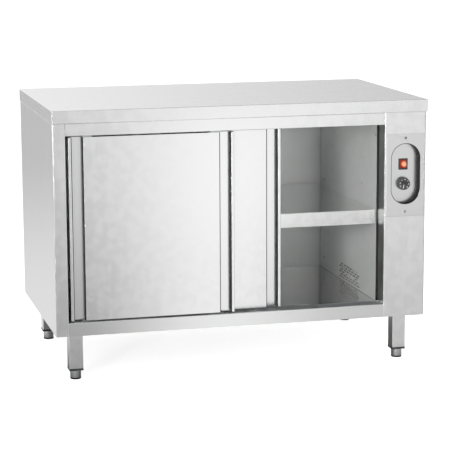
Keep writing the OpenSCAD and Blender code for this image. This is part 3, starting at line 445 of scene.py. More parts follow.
# One chamber liner steel in two tones: painted light makes the side walls lighter, painted shade
# makes the rear wall and ceiling darker.
SHADED_LINER_STEEL = BrushedSteel((0.72, 0.725, 0.72), 0.48, Axis.Z, 0.3, metal=0.6)
LIT_LINER_STEEL = BrushedSteel((0.88, 0.885, 0.88), 0.2, Axis.Z, 0.3, metal=0.65)
FLOOR_STEEL = BrushedSteel((0.64, 0.645, 0.64), 0.12, Axis.X, 0.3)
SHELF_STEEL = BrushedSteel((0.74, 0.745, 0.74), 0.16, Axis.X, 0.5)
FOOT_STEEL = BrushedSteel((0.7, 0.71, 0.72), 0.28, Axis.Z, 0.6)
DARK_STEEL = PlatedSteel((0.1, 0.1, 0.105), 0.45)
ZINC = PlatedSteel()
COPPER = PlatedSteel((0.72, 0.4, 0.24), 0.3)
BLACK_PLASTIC = MouldedPlastic()
BLACK_RUBBER = MouldedPlastic((0.008, 0.008, 0.0085), 0.7, 0.05, (0.02, 0.02, 0.02), 0.1)
KNOB_PLASTIC = MouldedPlastic((0.014, 0.014, 0.015), 0.36)
GREY_PLASTIC = MouldedPlastic((0.07, 0.075, 0.08), 0.45, 0.03, (0.16, 0.16, 0.17))
TRACK_STEEL = PlatedSteel((0.5, 0.51, 0.52), 0.3)
# Near-black steel on the heater box and element: painted shade seen through the vent slots.
SHADE_BLACK_STEEL = PlatedSteel((0.03, 0.03, 0.032), 0.6)
WHITE_INK = MouldedPlastic((0.9, 0.9, 0.88), 0.5, 0.01, (0.8, 0.8, 0.8))
WOOL = Wool()

KEPT_NODES: dict[str, Finish] = {
    "rear_panel": RAIL_STEEL, "base_panel": RAIL_STEEL,
    "inner_left_wall": LIT_LINER_STEEL, "inner_right_wall": LIT_LINER_STEEL,
    "inner_rear_wall": SHADED_LINER_STEEL, "inner_ceiling": SHADED_LINER_STEEL,
    "control_plate": PLATE_STEEL, "switch_plate": PLATE_STEEL,
    "panel_screws": DARK_STEEL, "worktop_stiffeners": ZINC, "top_track": ZINC,
    "shelf_pegs": DARK_STEEL, "heater_box": SHADE_BLACK_STEEL, "fan_motor": ZINC,
    "heating_element": SHADE_BLACK_STEEL,
    "thermostat_spindle": ZINC, "thermostat_sensor": COPPER,
    "insulation": WOOL, "recess_ring": BLACK_RUBBER, "closing_seals": BLACK_RUBBER,
    "leg_caps": BLACK_PLASTIC, "switch_housing": BLACK_PLASTIC, "mains_gland": BLACK_PLASTIC,
    "wiring_loom": BLACK_PLASTIC, "bottom_guide_channel": TRACK_STEEL,
    "thermostat_body": GREY_PLASTIC, "terminal_block": GREY_PLASTIC, "fan_impeller": GREY_PLASTIC,
    **{f"{door}_door_{part}": finish for door in ("front", "rear") for part, finish in {
        "back": DOOR_STEEL, "core": WOOL, "grip_liners": BLACK_RUBBER, "hangers": ZINC,
        "guide_shoes": GREY_PLASTIC, "left_wheel": GREY_PLASTIC,
        "right_wheel": GREY_PLASTIC}.items()}}


def edges_where(bm: bmesh.types.BMesh, test: Callable[[Vector, Vector], bool]) -> list:
    """Returns the edges whose two ends pass a test."""
    return [e for e in bm.edges if test(e.verts[0].co, e.verts[1].co)]


def verts_of(geom: list) -> list:
    """Returns the vertices among what an operator made."""
    return [g for g in geom if isinstance(g, bmesh.types.BMVert)]


def undersides(bm: bmesh.types.BMesh) -> list:
    """Returns the faces that look straight down."""
    bm.normal_update()
    return [f for f in bm.faces if f.normal.z < -SQUARE]


def foot_point(lo: Vector, hi: Vector) -> Vector:
    """Returns the point on the ground below the middle of a box."""
    return Vector(((lo.x + hi.x) / 2, (lo.y + hi.y) / 2, 0))


class Shape:
    """One bmesh that operators shape, made an object once it is finished."""

    def __init__(self) -> None:
        """Starts an empty mesh."""
        self.bm = bmesh.new()

    def block(self, lo: Sequence[float], hi: Sequence[float]) -> list:
        """Adds a box between two corners and returns its vertices."""
        size = Vector(hi) - Vector(lo)
        middle = (Vector(hi) + Vector(lo)) / 2
        matrix = Matrix.Translation(middle) @ Matrix.Diagonal((*size, 1.0))
        return bmesh.ops.create_cube(self.bm, size=1.0, matrix=matrix)["verts"]

    def round(self, edges: list, radius: float, segments: int) -> None:
        """Rounds edges."""
        bmesh.ops.bevel(self.bm, geom=edges, offset=radius, segments=segments, profile=0.5,
                        affect="EDGES", material=-1, clamp_overlap=False)

    def wall(self, thickness: float) -> None:
        """Gives every face a wall behind it."""
        self.bm.normal_update()
        bmesh.ops.solidify(self.bm, geom=self.bm.faces[:], thickness=thickness)

    def merge(self) -> None:
        """Merges doubles and turns every face outwards."""
        bmesh.ops.remove_doubles(self.bm, verts=self.bm.verts, dist=0.001 * MM)
        bmesh.ops.recalc_face_normals(self.bm, faces=self.bm.faces)

    def folded(self, path: Sequence[Vector], run: Vector, radius: float, thickness: float,
               segments: int = 4) -> None:
        """Adds a sheet folded along a path of flats and carried along a run.

        Args:
            path: Places where the outer face of the sheet turns, and its two ends.
            run: Vector from one end of the folds to the other.
            radius: Outer radius of the folds.
            thickness: Thickness of the sheet. It lies on the right of the path, seen with
                the run coming at the eye, or on the left if it is negative.
            segments: Facets on each fold.
        """
        before = set(self.bm.faces)
        verts = [self.bm.verts.new(p) for p in path]
        wire = [self.bm.edges.new(pair) for pair in zip(verts, verts[1:])]
        grown = bmesh.ops.extrude_edge_only(self.bm, edges=wire)["geom"]
        bmesh.ops.translate(self.bm, vec=run, verts=verts_of(grown))
        folds = [e for v in verts[1:-1] for e in v.link_edges
                 if abs((e.other_vert(v).co - v.co).normalized().dot(run.normalized())) > 0.99]
        self.round(folds, radius, segments)
        faces = [f for f in self.bm.faces if f not in before]
        self.thicken(faces, path, run, thickness)

    def thicken(self, faces: list, path: Sequence[Vector], run: Vector, thickness: float) -> None:
        """Turns faces alike and gives them a wall on one side.

        Args:
            faces: The open faces.
            path: Path that the faces follow.
            run: Direction across the path.
            thickness: Wall, whose sign says on which side it lies.
        """
        aside = run.normalized().cross(path[1] - path[0]).normalized()
        first = min(faces, key=lambda f: (f.calc_center_median() - path[0]).length)
        bmesh.ops.recalc_face_normals(self.bm, faces=faces)
        self.bm.normal_update()
        if first.normal.dot(aside) * thickness < 0:
            bmesh.ops.reverse_faces(self.bm, faces=faces)
        bmesh.ops.solidify(self.bm, geom=faces, thickness=abs(thickness))

    def turned(self, outline: Sequence[Point], centre: Vector, axis: Axis, steps: int) -> None:
        """Adds a turned solid.

        Args:
            outline: Distances along the axis and from it.
            centre: Point on the axis that the distances start from.
            axis: Axis of the solid.
            steps: Facets round the solid.
        """
        along = axis.vector()
        out = Vector((0, 0, 1)) if axis is not Axis.Z else Vector((1, 0, 0))
        verts = [self.bm.verts.new(centre + along * a + out * r) for a, r in outline]
        wire = [self.bm.edges.new(pair) for pair in zip(verts, verts[1:])]
        bmesh.ops.spin(self.bm, geom=verts + wire, cent=centre, axis=along, dvec=(0, 0, 0),
                       angle=math.tau, steps=steps, use_merge=True, use_duplicate=False)

    def object(self, name: str, body: str, finish: Finish,
               replaces: Sequence[str] = (), smooth: float = 35.0) -> None:
        """Ends the mesh as a piece of the object.

        Args:
            name: Name of the piece.
            body: Body that it rides on.
            finish: Finish that it is dressed in.
            replaces: Nodes that it stands for.
            smooth: Angle in degrees past which an edge stays sharp.
        """
        self.merge()
        mesh = bpy.data.meshes.new(name)
        self.bm.to_mesh(mesh)
        self.bm.free()
        piece = bpy.data.objects.new(name, mesh)
        bpy.context.scene.collection.objects.link(piece)
        mesh.shade_smooth()
        mesh.set_sharp_from_angle(angle=math.radians(smooth))
        piece.modifiers.new("even_normals", "WEIGHTED_NORMAL").keep_sharp = True
        corners = [v.co for v in mesh.vertices]
        lo = Vector([min(c[i] for c in corners) for i in range(3)])
        hi = Vector([max(c[i] for c in corners) for i in range(3)])
        mesh.materials.append(finish.make(name, lo, hi))
        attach(piece, body)
        if replaces:
            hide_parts(*replaces)
        LOG.info("%s: %d faces on %s", name, len(mesh.polygons), body)


def dress_kept_nodes(broken_edge: float = 0.35 * MM, sharp: float = 50.0) -> None:
    """Gives every kept node its finish, and rounds its sharp edges.

    Args:
        broken_edge: Width of the rounding.
        sharp: Angle in degrees past which an edge is rounded.
    """
    for name, finish in KEPT_NODES.items():
        node = frame["nodes"][name]
        lo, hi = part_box(name)
        node.data.materials.clear()
        node.data.materials.append(finish.make(name, lo, hi))
        weld = node.modifiers.new("weld", "WELD")
        weld.merge_threshold = 0.005 * MM
        edge = node.modifiers.new("edge", "BEVEL")
        edge.width = broken_edge
        edge.segments = 2
        edge.limit_method = "ANGLE"
        edge.angle_limit = math.radians(sharp)
        edge.harden_normals = True
        LOG.info("%s: kept, dressed", name)


@dataclass
class SheetMetal:
    """The folded sheets of the body, each with the bend radius of a press brake."""

    sheet: float = 1.0 * MM
    top_sheet: float = 1.5 * MM
    bend: float = 2.0 * MM
    top_bend: float = 2.2 * MM
    flange: float = 15.0 * MM
    rail_lip: float = 5.0 * MM
    rail_drop: float = 8.0 * MM
    top_return: float = 15.5 * MM
    panel_edge: float = 0.8 * MM
    plate_gap: float = 0.3 * MM
    ring_seat: float = 2.0 * MM
    floor_bend: float = 3.0 * MM
    leg_side: float = 44.0 * MM
    leg_corner: float = 3.0 * MM
    leg_wall: float = 1.5 * MM

    def worktop(self) -> None:
        """Makes the worktop, a tray with rounded edges and an inward return below."""
        lo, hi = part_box("worktop")
        shape = Shape()
        shape.block(lo, hi)
        bm = shape.bm
        under = undersides(bm)
        bmesh.ops.inset_region(bm, faces=under, thickness=self.top_return, use_even_offset=True)
        bmesh.ops.delete(bm, geom=under, context="FACES")
        outer = edges_where(bm, lambda a, b: on_box(a, lo, hi) and on_box(b, lo, hi))
        shape.round(outer, self.top_bend, 4)
        shape.wall(self.top_sheet)
        shape.object("worktop_tray", "root", TOP_STEEL, ["worktop"])

    def side_panels(self) -> None:
        """Makes the two side panels, each with a flange under the worktop."""
        for side, name in ((-1, "left_side_panel"), (1, "right_side_panel")):
            lo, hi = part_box(name)
            outer, inner = (lo.x, hi.x) if side < 0 else (hi.x, lo.x)
            path = [Vector((outer, lo.y, lo.z)), Vector((outer, lo.y, hi.z)),
                    Vector((inner, lo.y, hi.z))]
            shape = Shape()
            shape.folded(path, Vector((0, hi.y - lo.y, 0)), self.bend, side * self.sheet)
            near = 10 * TOUCH
            upright = edges_where(shape.bm, lambda a, b: abs(a.z - b.z) > LONG and a.y < lo.y + MM
                                  and abs(a.x - outer) < near and abs(b.x - outer) < near)
            shape.round(upright, self.panel_edge, 2)
            shape.object(name + "_sheet", "root", PANEL_STEEL, [name])

    def rails(self) -> None:
        """Makes the top and bottom rails of the front frame."""
        lo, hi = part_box("top_rail")
        run = Vector((hi.x - lo.x, 0, 0))
        shape = Shape()
        shape.folded([Vector((lo.x, hi.y, hi.z)), Vector((lo.x, lo.y, hi.z)),
                      Vector((lo.x, lo.y, lo.z)), Vector((lo.x, lo.y + self.rail_lip, lo.z))],
                     run, self.bend, -self.sheet)
        shape.object("top_rail_sheet", "root", RAIL_STEEL, ["top_rail"])
        lo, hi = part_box("bottom_rail")
        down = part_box("bottom_guide_channel")[0].z - self.rail_drop
        shape = Shape()
        shape.folded([Vector((lo.x, lo.y, lo.z)), Vector((lo.x, lo.y, hi.z)),
                      Vector((lo.x, hi.y, hi.z)), Vector((lo.x, hi.y, down))],
                     run, self.bend, self.sheet)
        shape.object("bottom_rail_sheet", "root", RAIL_STEEL, ["bottom_rail"])

    def stile(self) -> None:
        """Makes the left stile."""
        lo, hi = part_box("left_stile")
        shape = Shape()
        shape.folded([Vector((lo.x, lo.y + self.flange, lo.z)), Vector((lo.x, lo.y, lo.z)),
                      Vector((hi.x, lo.y, lo.z)), Vector((hi.x, hi.y, lo.z))],
                     Vector((0, 0, hi.z - lo.z)), self.bend, -self.sheet)
        shape.object("left_stile_sheet", "root", PANEL_STEEL, ["left_stile"])

    def column(self) -> None:
        """Makes the control column, with the pocket and window for the control plate."""
        lo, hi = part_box("control_column")
        plate_lo, plate_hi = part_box("control_plate")
        ring_lo, ring_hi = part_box("recess_ring")
        gap = self.plate_gap
        shape = Shape()
        bm = shape.bm
        verts = [bm.verts.new(p) for p in (
            (hi.x, lo.y + self.flange, lo.z), (hi.x, lo.y, lo.z), (lo.x, lo.y, lo.z),
            (lo.x, hi.y, lo.z))]
        wire = [bm.edges.new(pair) for pair in zip(verts, verts[1:])]
        grown = bmesh.ops.extrude_edge_only(bm, edges=wire)["geom"]
        bmesh.ops.translate(bm, vec=(0, 0, hi.z - lo.z), verts=verts_of(grown))
        folds = [e for e in bm.edges if abs(e.verts[0].co.z - e.verts[1].co.z) > LONG
                 and len(e.link_faces) == 2]
        shape.round(folds, self.bend, 4)
        cuts = [((plate_lo.x - gap, 0, 0), (1, 0, 0)), ((plate_hi.x + gap, 0, 0), (1, 0, 0)),
                ((0, 0, plate_lo.z - gap), (0, 0, 1)), ((0, 0, plate_hi.z + gap), (0, 0, 1))]
        for spot, way in cuts:
            geom = [f for f in bm.faces if f.calc_center_median().y < lo.y + TOUCH]
            geom += list({e for f in geom for e in f.edges} | {v for f in geom for v in f.verts})
            bmesh.ops.bisect_plane(bm, geom=geom, plane_co=spot, plane_no=way)
        pocket = [f for f in bm.faces if inside(f, plate_lo, plate_hi, lo.y)]
        grown = bmesh.ops.extrude_face_region(bm, geom=pocket)["geom"]
        bmesh.ops.delete(bm, geom=[f for f in pocket if f.is_valid], context="FACES")
        floor = [g for g in grown if isinstance(g, bmesh.types.BMFace)]
        bmesh.ops.translate(bm, vec=(0, plate_hi.y - lo.y, 0), verts=verts_of(grown))
        rim = min(ring_lo.x - plate_lo.x, plate_hi.x - ring_hi.x) - self.ring_seat
        bmesh.ops.inset_region(bm, faces=floor, thickness=rim, use_even_offset=True)
        bmesh.ops.delete(bm, geom=floor, context="FACES")
        bm.normal_update()
        bmesh.ops.recalc_face_normals(bm, faces=bm.faces)
        face = max(bm.faces, key=lambda f: f.calc_area() if f.calc_center_median().y < lo.y + MM
                   else 0.0)
        if face.normal.y > 0:
            bmesh.ops.reverse_faces(bm, faces=bm.faces)
        bmesh.ops.solidify(bm, geom=bm.faces[:], thickness=self.sheet)
        shape.object("control_column_sheet", "root", PANEL_STEEL,
                     ["control_column"])

    def floor(self) -> None:
        """Makes the chamber floor, its edges turned down beside the walls."""
        lo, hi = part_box("inner_floor")
        shape = Shape()
        shape.block(lo, hi)
        bmesh.ops.delete(shape.bm, geom=undersides(shape.bm), context="FACES")
        top = edges_where(shape.bm, lambda a, b: min(a.z, b.z) > hi.z - 10 * TOUCH)
        shape.round(top, self.floor_bend, 4)
        shape.wall(self.sheet)
        shape.object("inner_floor_sheet", "root", FLOOR_STEEL, ["inner_floor"])

    def legs(self) -> None:
        """Makes the four legs from square tube with rounded corners."""
        lo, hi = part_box("legs")
        side = self.leg_side
        shape = Shape()
        for x in (lo.x, hi.x - side):
            for y in (lo.y, hi.y - side):
                verts = shape.block((x, y, lo.z), (x + side, y + side, hi.z))
                shape.bm.normal_update()
                ends = [f for f in shape.bm.faces if abs(f.normal.z) > SQUARE
                        and all(v in verts for v in f.verts)]
                bmesh.ops.delete(shape.bm, geom=ends, context="FACES")
        uprights = edges_where(shape.bm, lambda a, b: abs(a.z - b.z) > (hi.z - lo.z) / 2)
        shape.round(uprights, self.leg_corner, 4)
        shape.wall(self.leg_wall)
        shape.object("leg_tubes", "root", PANEL_STEEL, ["legs"])

    def make(self) -> None:
        """Makes all sheets of the body."""
        for part in (self.worktop, self.side_panels, self.rails, self.stile, self.column,
                     self.floor, self.legs):
            part()


def on_box(point: Vector, lo: Vector, hi: Vector) -> bool:
    """Tells whether a point lies on an upright edge or face outline of a box."""
    return any(abs(point[i] - c[i]) < TOUCH for i in (0, 1) for c in (lo, hi))


def inside(face: bmesh.types.BMFace, lo: Vector, hi: Vector, y: float) -> bool:
    """Tells whether a face at depth y has its centre within a box seen from the front."""
    c = face.calc_center_median()
    return abs(c.y - y) < TOUCH and lo.x < c.x < hi.x and lo.z < c.z < hi.z


@dataclass
class Door:
    """One sliding door: its folded skin with a grip groove at each side."""

    body: str
    sheet: float = 1.0 * MM
    bend: float = 1.6 * MM
    lip: float = 9.5 * MM
    groove: float = 37.0 * MM
    depth: float = 19.0 * MM

    def make(self) -> None:
        """Makes the skin."""
        name = f"{self.body}_skin"
        lo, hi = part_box(name)
        t = self.sheet
        inner = lo.y + self.depth
        xs = [lo.x, lo.x + self.lip, lo.x + self.lip + self.groove]
        left = [(xs[0], hi.y), (xs[0], lo.y), (xs[1], lo.y), (xs[1], inner), (xs[2], inner),
                (xs[2], lo.y)]
        right = [(lo.x + hi.x - x, y) for x, y in reversed(left)]
        path = [Vector((x, y, lo.z)) for x, y in left + right]
        shape = Shape()
        shape.folded(path, Vector((0, 0, hi.z - lo.z)), self.bend, -t)
        x0, x1 = xs[2] + t, lo.x + hi.x - xs[2] - t
        for z in (lo.z, hi.z - t):
            shape.block((x0, lo.y + t, z), (x1, hi.y, z + t))
        shape.object(name + "_sheet", self.body, DOOR_STEEL, [name])


@dataclass
class Shelf:
    """The lift-out shelf, a tray with a deep hemmed front."""

    sheet: float = 1.0 * MM
    bend: float = 2.0 * MM
    lip: float = 16.0 * MM
    hem: float = 12.0 * MM

    def make(self) -> None:
        """Makes the shelf."""
        lo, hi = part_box("shelf")
        shape = Shape()
        shape.block((lo.x, lo.y, hi.z - self.lip), hi)
        bm = shape.bm
        bmesh.ops.delete(bm, geom=undersides(bm), context="FACES")
        front = edges_where(bm, lambda a, b: max(a.z, b.z) < hi.z - 0.5 * self.lip
                            and max(a.y, b.y) < lo.y + MM)
        for move in ((0, 0, lo.z - hi.z + self.lip), (0, self.hem, 0)):
            grown = bmesh.ops.extrude_edge_only(bm, edges=front)["geom"]
            bmesh.ops.translate(bm, vec=move, verts=verts_of(grown))
            front = [g for g in grown if isinstance(g, bmesh.types.BMEdge)
                     and abs(g.verts[0].co.x - g.verts[1].co.x) > LONG]
        bm.normal_update()
        folds = [e for e in bm.edges if len(e.link_faces) == 2
                 and e.link_faces[0].normal.dot(e.link_faces[1].normal) < 0.5]
        shape.round(folds, self.bend, 3)
        bmesh.ops.recalc_face_normals(bm, faces=bm.faces)
        deck = max(bm.faces, key=lambda f: f.calc_area())
        if deck.normal.z < 0:
            bmesh.ops.reverse_faces(bm, faces=bm.faces)
        bmesh.ops.solidify(bm, geom=bm.faces[:], thickness=self.sheet)
        shape.object("shelf_tray", "shelf", SHELF_STEEL, ["shelf"])


@dataclass
class Knob:
    """The thermostat knob: a fluted drum with a printed scale on its face."""

    flutes: int = 36
    flute_depth: float = 0.7 * MM
    skirt: float = 3.0 * MM
    skirt_edge: float = 0.5 * MM
    waist: float = 1.2 * MM
    face_rim: float = 3.0 * MM
    face_drop: float = 0.35 * MM
    chamfer: float = 1.0 * MM
    scale_radius: float = 14.2 * MM
    digit: float = 4.6 * MM
    raised: float = 0.12 * MM
    turn: float = -16.0
    step: float = 43.0
    numbers: tuple[int, ...] = (30, 40, 50, 60, 70, 80, 90)
    pointer_half: float = 0.6 * MM
    pointer_start: float = 3.0 * MM
    pointer_end: float = 15.5 * MM

    def make(self) -> None:
        """Makes the drum and its marks."""
        lo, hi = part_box("knob")
        centre = Vector(((lo.x + hi.x) / 2, hi.y, (lo.z + hi.z) / 2))
        radius, height = (hi.x - lo.x) / 2, hi.y - lo.y
        c = self.chamfer
        waist = radius - self.waist
        floor = -height + self.face_drop
        shape = Shape()
        outline = [(0, 0), (0, radius - self.skirt_edge), (-self.skirt_edge, radius),
                   (-self.skirt, radius), (-self.skirt - 0.4 * MM, radius - 0.8 * MM),
                   (-height + c, waist), (-height + 0.3 * c, waist - 0.7 * c),
                   (-height, waist - c), (-height, radius - self.face_rim),
                   (floor, radius - self.face_rim - 0.3 * MM), (floor, 0)]
        shape.turned(outline, centre, Axis.Y, 4 * self.flutes)
        self.flute(shape, centre, radius, height)
        shape.object("knob_drum", "knob", KNOB_PLASTIC, ["knob"], 40)
        self.marks(centre, centre.y + floor)

    def flute(self, shape: Shape, centre: Vector, radius: float, height: float) -> None:
        """Presses the grip flutes into the drum's side.

        Args:
            shape: Mesh of the drum.
            centre: Point on the knob's axis at its foot.
            radius: Radius of the skirt.
            height: Height of the knob.
        """
        inner = radius - self.waist - 1.1 * MM
        low, high = self.skirt + 0.2 * MM, height - 0.2 * MM
        for v in shape.bm.verts:
            out = Vector((v.co.x - centre.x, 0, v.co.z - centre.z))
            if out.length >= inner and low <= centre.y - v.co.y <= high:
                wave = 0.5 - 0.5 * math.cos(math.atan2(out.z, out.x) * self.flutes)
                v.co -= out.normalized() * self.flute_depth * wave

    def marks(self, centre: Vector, face: float) -> None:
        """Makes the white numbers and the pointer line on the face.

        Args:
            centre: Point on the knob's axis.
            face: Depth of the face.
        """
        shape = Shape()
        upright = Matrix.Rotation(math.radians(90), 4, "X")
        spot = Matrix.Translation((centre.x, face, centre.z))
        for i, number in enumerate(self.numbers):
            angle = math.radians(self.turn - 180 - self.step * (i + 1))
            curve = bpy.data.curves.new(f"digits_{i}", "FONT")
            curve.body = str(number)
            curve.size = self.digit
            curve.align_x = "CENTER"
            curve.align_y = "CENTER"
            curve.extrude = self.raised
            curve.resolution_u = 3
            text = bpy.data.objects.new(f"digits_{i}", curve)
            mesh = bpy.data.meshes.new_from_object(text)
            out = Matrix.Translation((0, self.scale_radius, 0))
            mesh.transform(spot @ upright @ Matrix.Rotation(angle, 4, "Z") @ out)
            shape.bm.from_mesh(mesh)
            bpy.data.meshes.remove(mesh)
            bpy.data.objects.remove(text)
            bpy.data.curves.remove(curve)
        turn = spot @ upright @ Matrix.Rotation(math.radians(self.turn + 180), 4, "Z")
        line = shape.block((-self.pointer_half, self.pointer_start, -self.raised),
                           (self.pointer_half, self.pointer_end, self.raised))
        bmesh.ops.transform(shape.bm, matrix=turn, verts=line)
        shape.object("knob_scale", "knob", WHITE_INK)


@dataclass
class Rocker:
    """The lit rocker: a bowed face with soft edges between its pivot pins."""

    round_edges: float = 0.9 * MM
    half: float = 13.0 * MM
    end: float = 13.0 * MM
    middle: float = 10.0 * MM
    root: float = 6.0 * MM
    width: float = 20.0 * MM
    bow: float = 0.4 * MM
    taper: float = 1.5 * MM
    pin_radius: float = 2.0 * MM
    pin_chamfer: float = 0.4 * MM
    lamp_aside: float = 1.5 * MM

    def make(self) -> None:
        """Makes the rocker from its rest box and tilt."""
        lo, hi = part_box("rocker")
        joint = next(j for j in frame["joints"] if j["name"] == "switch_rock")
        pivot = Vector(joint["pos_m"])
        tilt = -math.radians((joint["range_deg"][1] - joint["range_deg"][0]) / 2)
        half, between = self.half, -0.5 * (self.end + self.middle) + self.bow
        outline = [(half, -self.end), (0.5 * half, between), (0.0, -self.middle),
                   (-0.5 * half, between), (-half, -self.end), (self.taper - half, self.root),
                   (half - self.taper, self.root)]
        shape = Shape()
        bm = shape.bm
        face = bm.faces.new([bm.verts.new((-self.width / 2, y, z)) for z, y in outline])
        grown = bmesh.ops.extrude_face_region(bm, geom=[face])["geom"]
        bmesh.ops.translate(bm, vec=(self.width, 0, 0), verts=verts_of(grown))
        bm.normal_update()
        sharp = [e for e in bm.edges if e.link_faces[0].normal.dot(e.link_faces[1].normal) < 0.7]
        shape.round(sharp, self.round_edges, 3)
        pin, r, c = (hi.x - lo.x) / 2, self.pin_radius, self.pin_chamfer
        shape.turned([(-pin, 0), (-pin, r - c), (-pin + c, r), (pin - c, r), (pin, r - c),
                      (pin, 0)], Vector((0, 0, 0)), Axis.X, 24)
        place = Matrix.Translation(pivot) @ Matrix.Rotation(tilt, 4, "X")
        bmesh.ops.transform(bm, matrix=place, verts=bm.verts)
        lamp = place @ Vector((self.lamp_aside, -self.middle, -self.lamp_aside))
        shape.object("rocker_cap", "rocker", LitPlastic(tuple(lamp)), ["rocker"])


@dataclass
class Foot:
    """One levelling foot with a chamfered body, a threaded screw and a black pad."""

    corner: str
    pad: float = 5.0 * MM
    pad_inset: float = 1.0 * MM
    seam: float = 0.4 * MM
    chamfer: float = 1.2 * MM
    gap: float = 0.2 * MM
    pitch: float = 1.5 * MM
    thread: float = 5.0 * MM
    thread_root: float = 4.2 * MM
    tip: float = 3.4 * MM

    def make(self) -> None:
        """Makes the foot and its pad."""
        name = f"foot_{self.corner}"
        lo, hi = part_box(name)
        floor = foot_point(lo, hi)
        radius = (hi.x - lo.x) / 2
        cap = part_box("leg_caps")[0].z
        top = cap - self.gap
        c = self.chamfer
        outline = [(self.pad, 0), (self.pad, radius - self.seam), (self.pad + self.seam, radius),
                   (top - c, radius), (top, radius - c), (top, self.thread)]
        z = cap
        while z < hi.z - self.pitch:
            outline += [(z + 0.25 * self.pitch, self.thread_root),
                        (z + 0.75 * self.pitch, self.thread)]
            z += self.pitch
        outline += [(hi.z - self.seam, self.thread_root), (hi.z, self.tip), (hi.z, 0)]
        shape = Shape()
        shape.turned(outline, floor, Axis.Z, 40)
        shape.object(f"{name}_body", name, FOOT_STEEL, [name])
        shape = Shape()
        shape.turned([(0, 0), (0, radius - self.pad_inset), (0.6 * MM, radius - 0.3 * MM),
                      (2 * MM, radius), (self.pad, radius), (self.pad, 0)], floor, Axis.Z, 40)
        shape.object(f"{name}_pad", name, BLACK_RUBBER)


@dataclass(frozen=True)
class Lamp:
    """A square soft light that the camera doesn't see."""

    name: str
    place: Place
    aim: Place
    size: float
    power: float
    spread: float = 180.0

    def hang(self) -> None:
        """Hangs the light in its place and turns it to its aim."""
        data = bpy.data.lights.new(self.name, "AREA")
        data.size = self.size
        data.energy = self.power
        data.spread = math.radians(self.spread)
        lamp = bpy.data.objects.new(self.name, data)
        lamp.location = self.place
        way = Vector(self.aim) - Vector(self.place)
        lamp.rotation_euler = way.to_track_quat("-Z", "Y").to_euler()
        lamp.visible_camera = False
        bpy.context.scene.collection.objects.link(lamp)


LAMPS = (
    Lamp("key", (-3.0, -3.6, 3.6), (0, 0, 0.5), 2.4, 40.0),
    Lamp("fill", (3.4, -3.2, 2.2), (0, 0, 0.5), 2.4, 15.0),
    Lamp("top", (0.0, 0.6, 4.2), (0, 0, 0.8), 5.0, 25.0),
    Lamp("side", (-2.0, 0.8, 1.6), (-1.2, 0.8, 0.0), 2.2, 5.0),
    Lamp("inner", (-1.7, -2.7, 1.0), (0.46, -0.1, 0.5), 1.2, 7.5, 34.0),
)


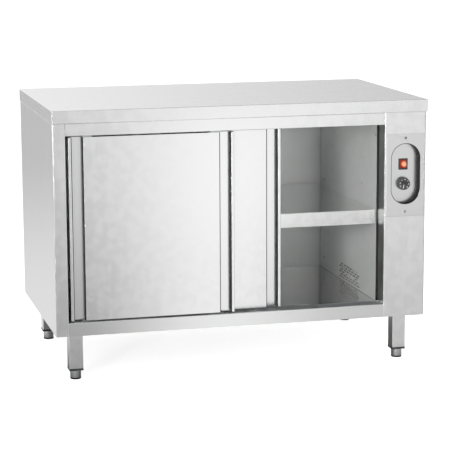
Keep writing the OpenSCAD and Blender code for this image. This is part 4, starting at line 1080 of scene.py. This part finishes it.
@dataclass
class Studio:
    """White floor, soft light and a camera where the photograph was taken from."""

    camera_place: Place = (-1.4288, -5.7327, 1.4665)
    yaw: float = 0.2488
    pitch: float = 0.1768
    roll: float = -0.0048
    focal_px: float = 1813.7
    picture_px: float = 452.0
    sensor_mm: float = 36.0
    sky: float = 0.62
    white: float = 0.72
    mirror_y: float = 5.067
    dim: float = 0.43
    bright: float = 1.3
    even: float = 0.82
    rise: Point = (0.15, 0.25)
    fall: Point = (0.252, 0.335)
    left_glow: Ramp = (0.175, 0.135, 0.0, 0.2)
    far_side: Ramp = (0.6, 1.2, 1.0, 0.3)
    behind: Ramp = (0.08, 0.42, 1.0, 0.62)
    above: Ramp = (0.35, 0.9, 1.0, 0.45)
    # Painted light on the floor as mirrored rays see it: shade near the object's front, falloff
    # behind it and a painted shadow under it.
    front_floor: Ramp = (-0.5, -4.5, 0.78, 1.08)
    rear_floor: Ramp = (0.6, 5.0, 0.84, 0.58)
    under_width: Point = (0.75, 0.5)
    under_depth: Point = (0.5, 0.25)
    under_painted_shadow: float = 0.85
    seam: float = 0.3
    floor_radius: float = 40.0

    def camera(self) -> None:
        """Places the camera."""
        ahead = Vector((math.sin(self.yaw) * math.cos(self.pitch),
                        math.cos(self.yaw) * math.cos(self.pitch), -math.sin(self.pitch)))
        right = Vector((math.cos(self.yaw), -math.sin(self.yaw), 0))
        up = right.cross(ahead)
        side = math.cos(self.roll) * right + math.sin(self.roll) * up
        over = math.cos(self.roll) * up - math.sin(self.roll) * right
        data = bpy.data.cameras.new("camera")
        data.sensor_width = self.sensor_mm
        data.lens = self.focal_px * self.sensor_mm / self.picture_px
        data.clip_end = 200.0
        camera = bpy.data.objects.new("camera", data)
        turn = Matrix((side, over, -ahead)).transposed().to_4x4()
        camera.matrix_world = Matrix.Translation(self.camera_place) @ turn
        bpy.context.scene.collection.objects.link(camera)
        bpy.context.scene.camera = camera

    def sweep(self, slope: Value) -> Value:
        """Returns how bright the room in front of the object is, from left to right.

        Args:
            slope: Tangent of the angle between a mirrored ray and the room's depth.

        Returns:
            Brightness that a mirrored ray meets.
        """
        rise = slope.ramp(*self.rise, self.dim, self.bright) + slope.ramp(*self.left_glow)
        fall = slope.ramp(*self.fall, 0.0, self.bright - self.even)
        return (rise - fall) * slope.ramp(*self.far_side)

    def world(self) -> None:
        """Makes the white surroundings."""
        world = bpy.data.worlds.new("surroundings")
        bpy.context.scene.world = world
        world.use_nodes = True
        graph = Graph(world.node_tree)
        seen, shine = graph.rays()
        x, y, z = graph.parts(graph.node("TexCoord", output="Generated"))
        behind = x.ramp(*self.behind)
        before = self.sweep(x / (y * -1.0).most(0.05))
        around = y.ramp(-self.seam, self.seam, 0.0, 1.0)
        mirrored = (around * behind + (1.0 - around) * before) * z.ramp(*self.above)
        level = seen + (1.0 - seen) * (shine * mirrored + (1.0 - shine) * self.sky)
        back = graph.node("Background", inputs={"Color": level, "Strength": 1.0})
        graph.node("OutputWorld", inputs={"Surface": back})

    def floor(self) -> None:
        """Lays the white floor, which keeps the object's shadow for camera rays. Mirrored rays see
        painted light on it instead: a painted pool of light in front, painted shade near the
        object's front and a painted shadow under it.
        """
        bm = bmesh.new()
        bmesh.ops.create_circle(bm, cap_ends=True, segments=64, radius=self.floor_radius)
        mesh = bpy.data.meshes.new("floor")
        bm.to_mesh(mesh)
        bm.free()
        floor = bpy.data.objects.new("floor", mesh)
        bpy.context.scene.collection.objects.link(floor)
        material, graph = new_graph("white_floor")
        seen, shine = graph.rays()
        x, y, _ = graph.parts(graph.place())
        cloud = graph.noise(0.7, 2.0)
        pale = graph.blend(cloud * 0.3, (0.8, 0.8, 0.8), (0.77, 0.77, 0.77))
        paper = graph.node("BsdfPrincipled", inputs={
            "Base Color": pale, "Roughness": 0.9, "Specular IOR Level": 0.1,
            "Emission Color": seen * self.white, "Emission Strength": 1.0})
        # Painted pool of light for mirrored rays, with painted shade close in front of the object.
        front = self.sweep((x - self.camera_place[0]) / (y * -1.0 + self.mirror_y))
        front = front * y.ramp(*self.front_floor)
        rear = y.ramp(*self.rear_floor)
        level = rear + (front - rear) * y.ramp(self.seam, -self.seam)
        # Painted shadow under the object, which mirrored rays see.
        under = x.distance().ramp(*self.under_width) * y.distance().ramp(*self.under_depth)
        level = level * (1.0 - under * self.under_painted_shadow)
        mirrored = graph.node("Emission", inputs={"Color": level, "Strength": 1.0})
        mixed = graph.node("MixShader", inputs={0: shine, 1: paper, 2: mirrored})
        graph.node("OutputMaterial", inputs={"Surface": mixed})
        mesh.materials.append(material)

    def make(self) -> None:
        """Sets the whole studio up."""
        self.camera()
        self.world()
        self.floor()
        for lamp in LAMPS:
            lamp.hang()
        bpy.context.scene.view_settings.view_transform = "Standard"


def main() -> None:
    """Builds the object's classes in order."""
    logging.basicConfig(level=logging.INFO, format="%(message)s")
    Studio().make()
    dress_kept_nodes()
    SheetMetal().make()
    for body in ("front_door", "rear_door"):
        Door(body).make()
    Shelf().make()
    Knob().make()
    Rocker().make()
    for corner in ("front_left", "front_right", "rear_left", "rear_right"):
        Foot(corner).make()


if __name__ == "__main__":
    main()
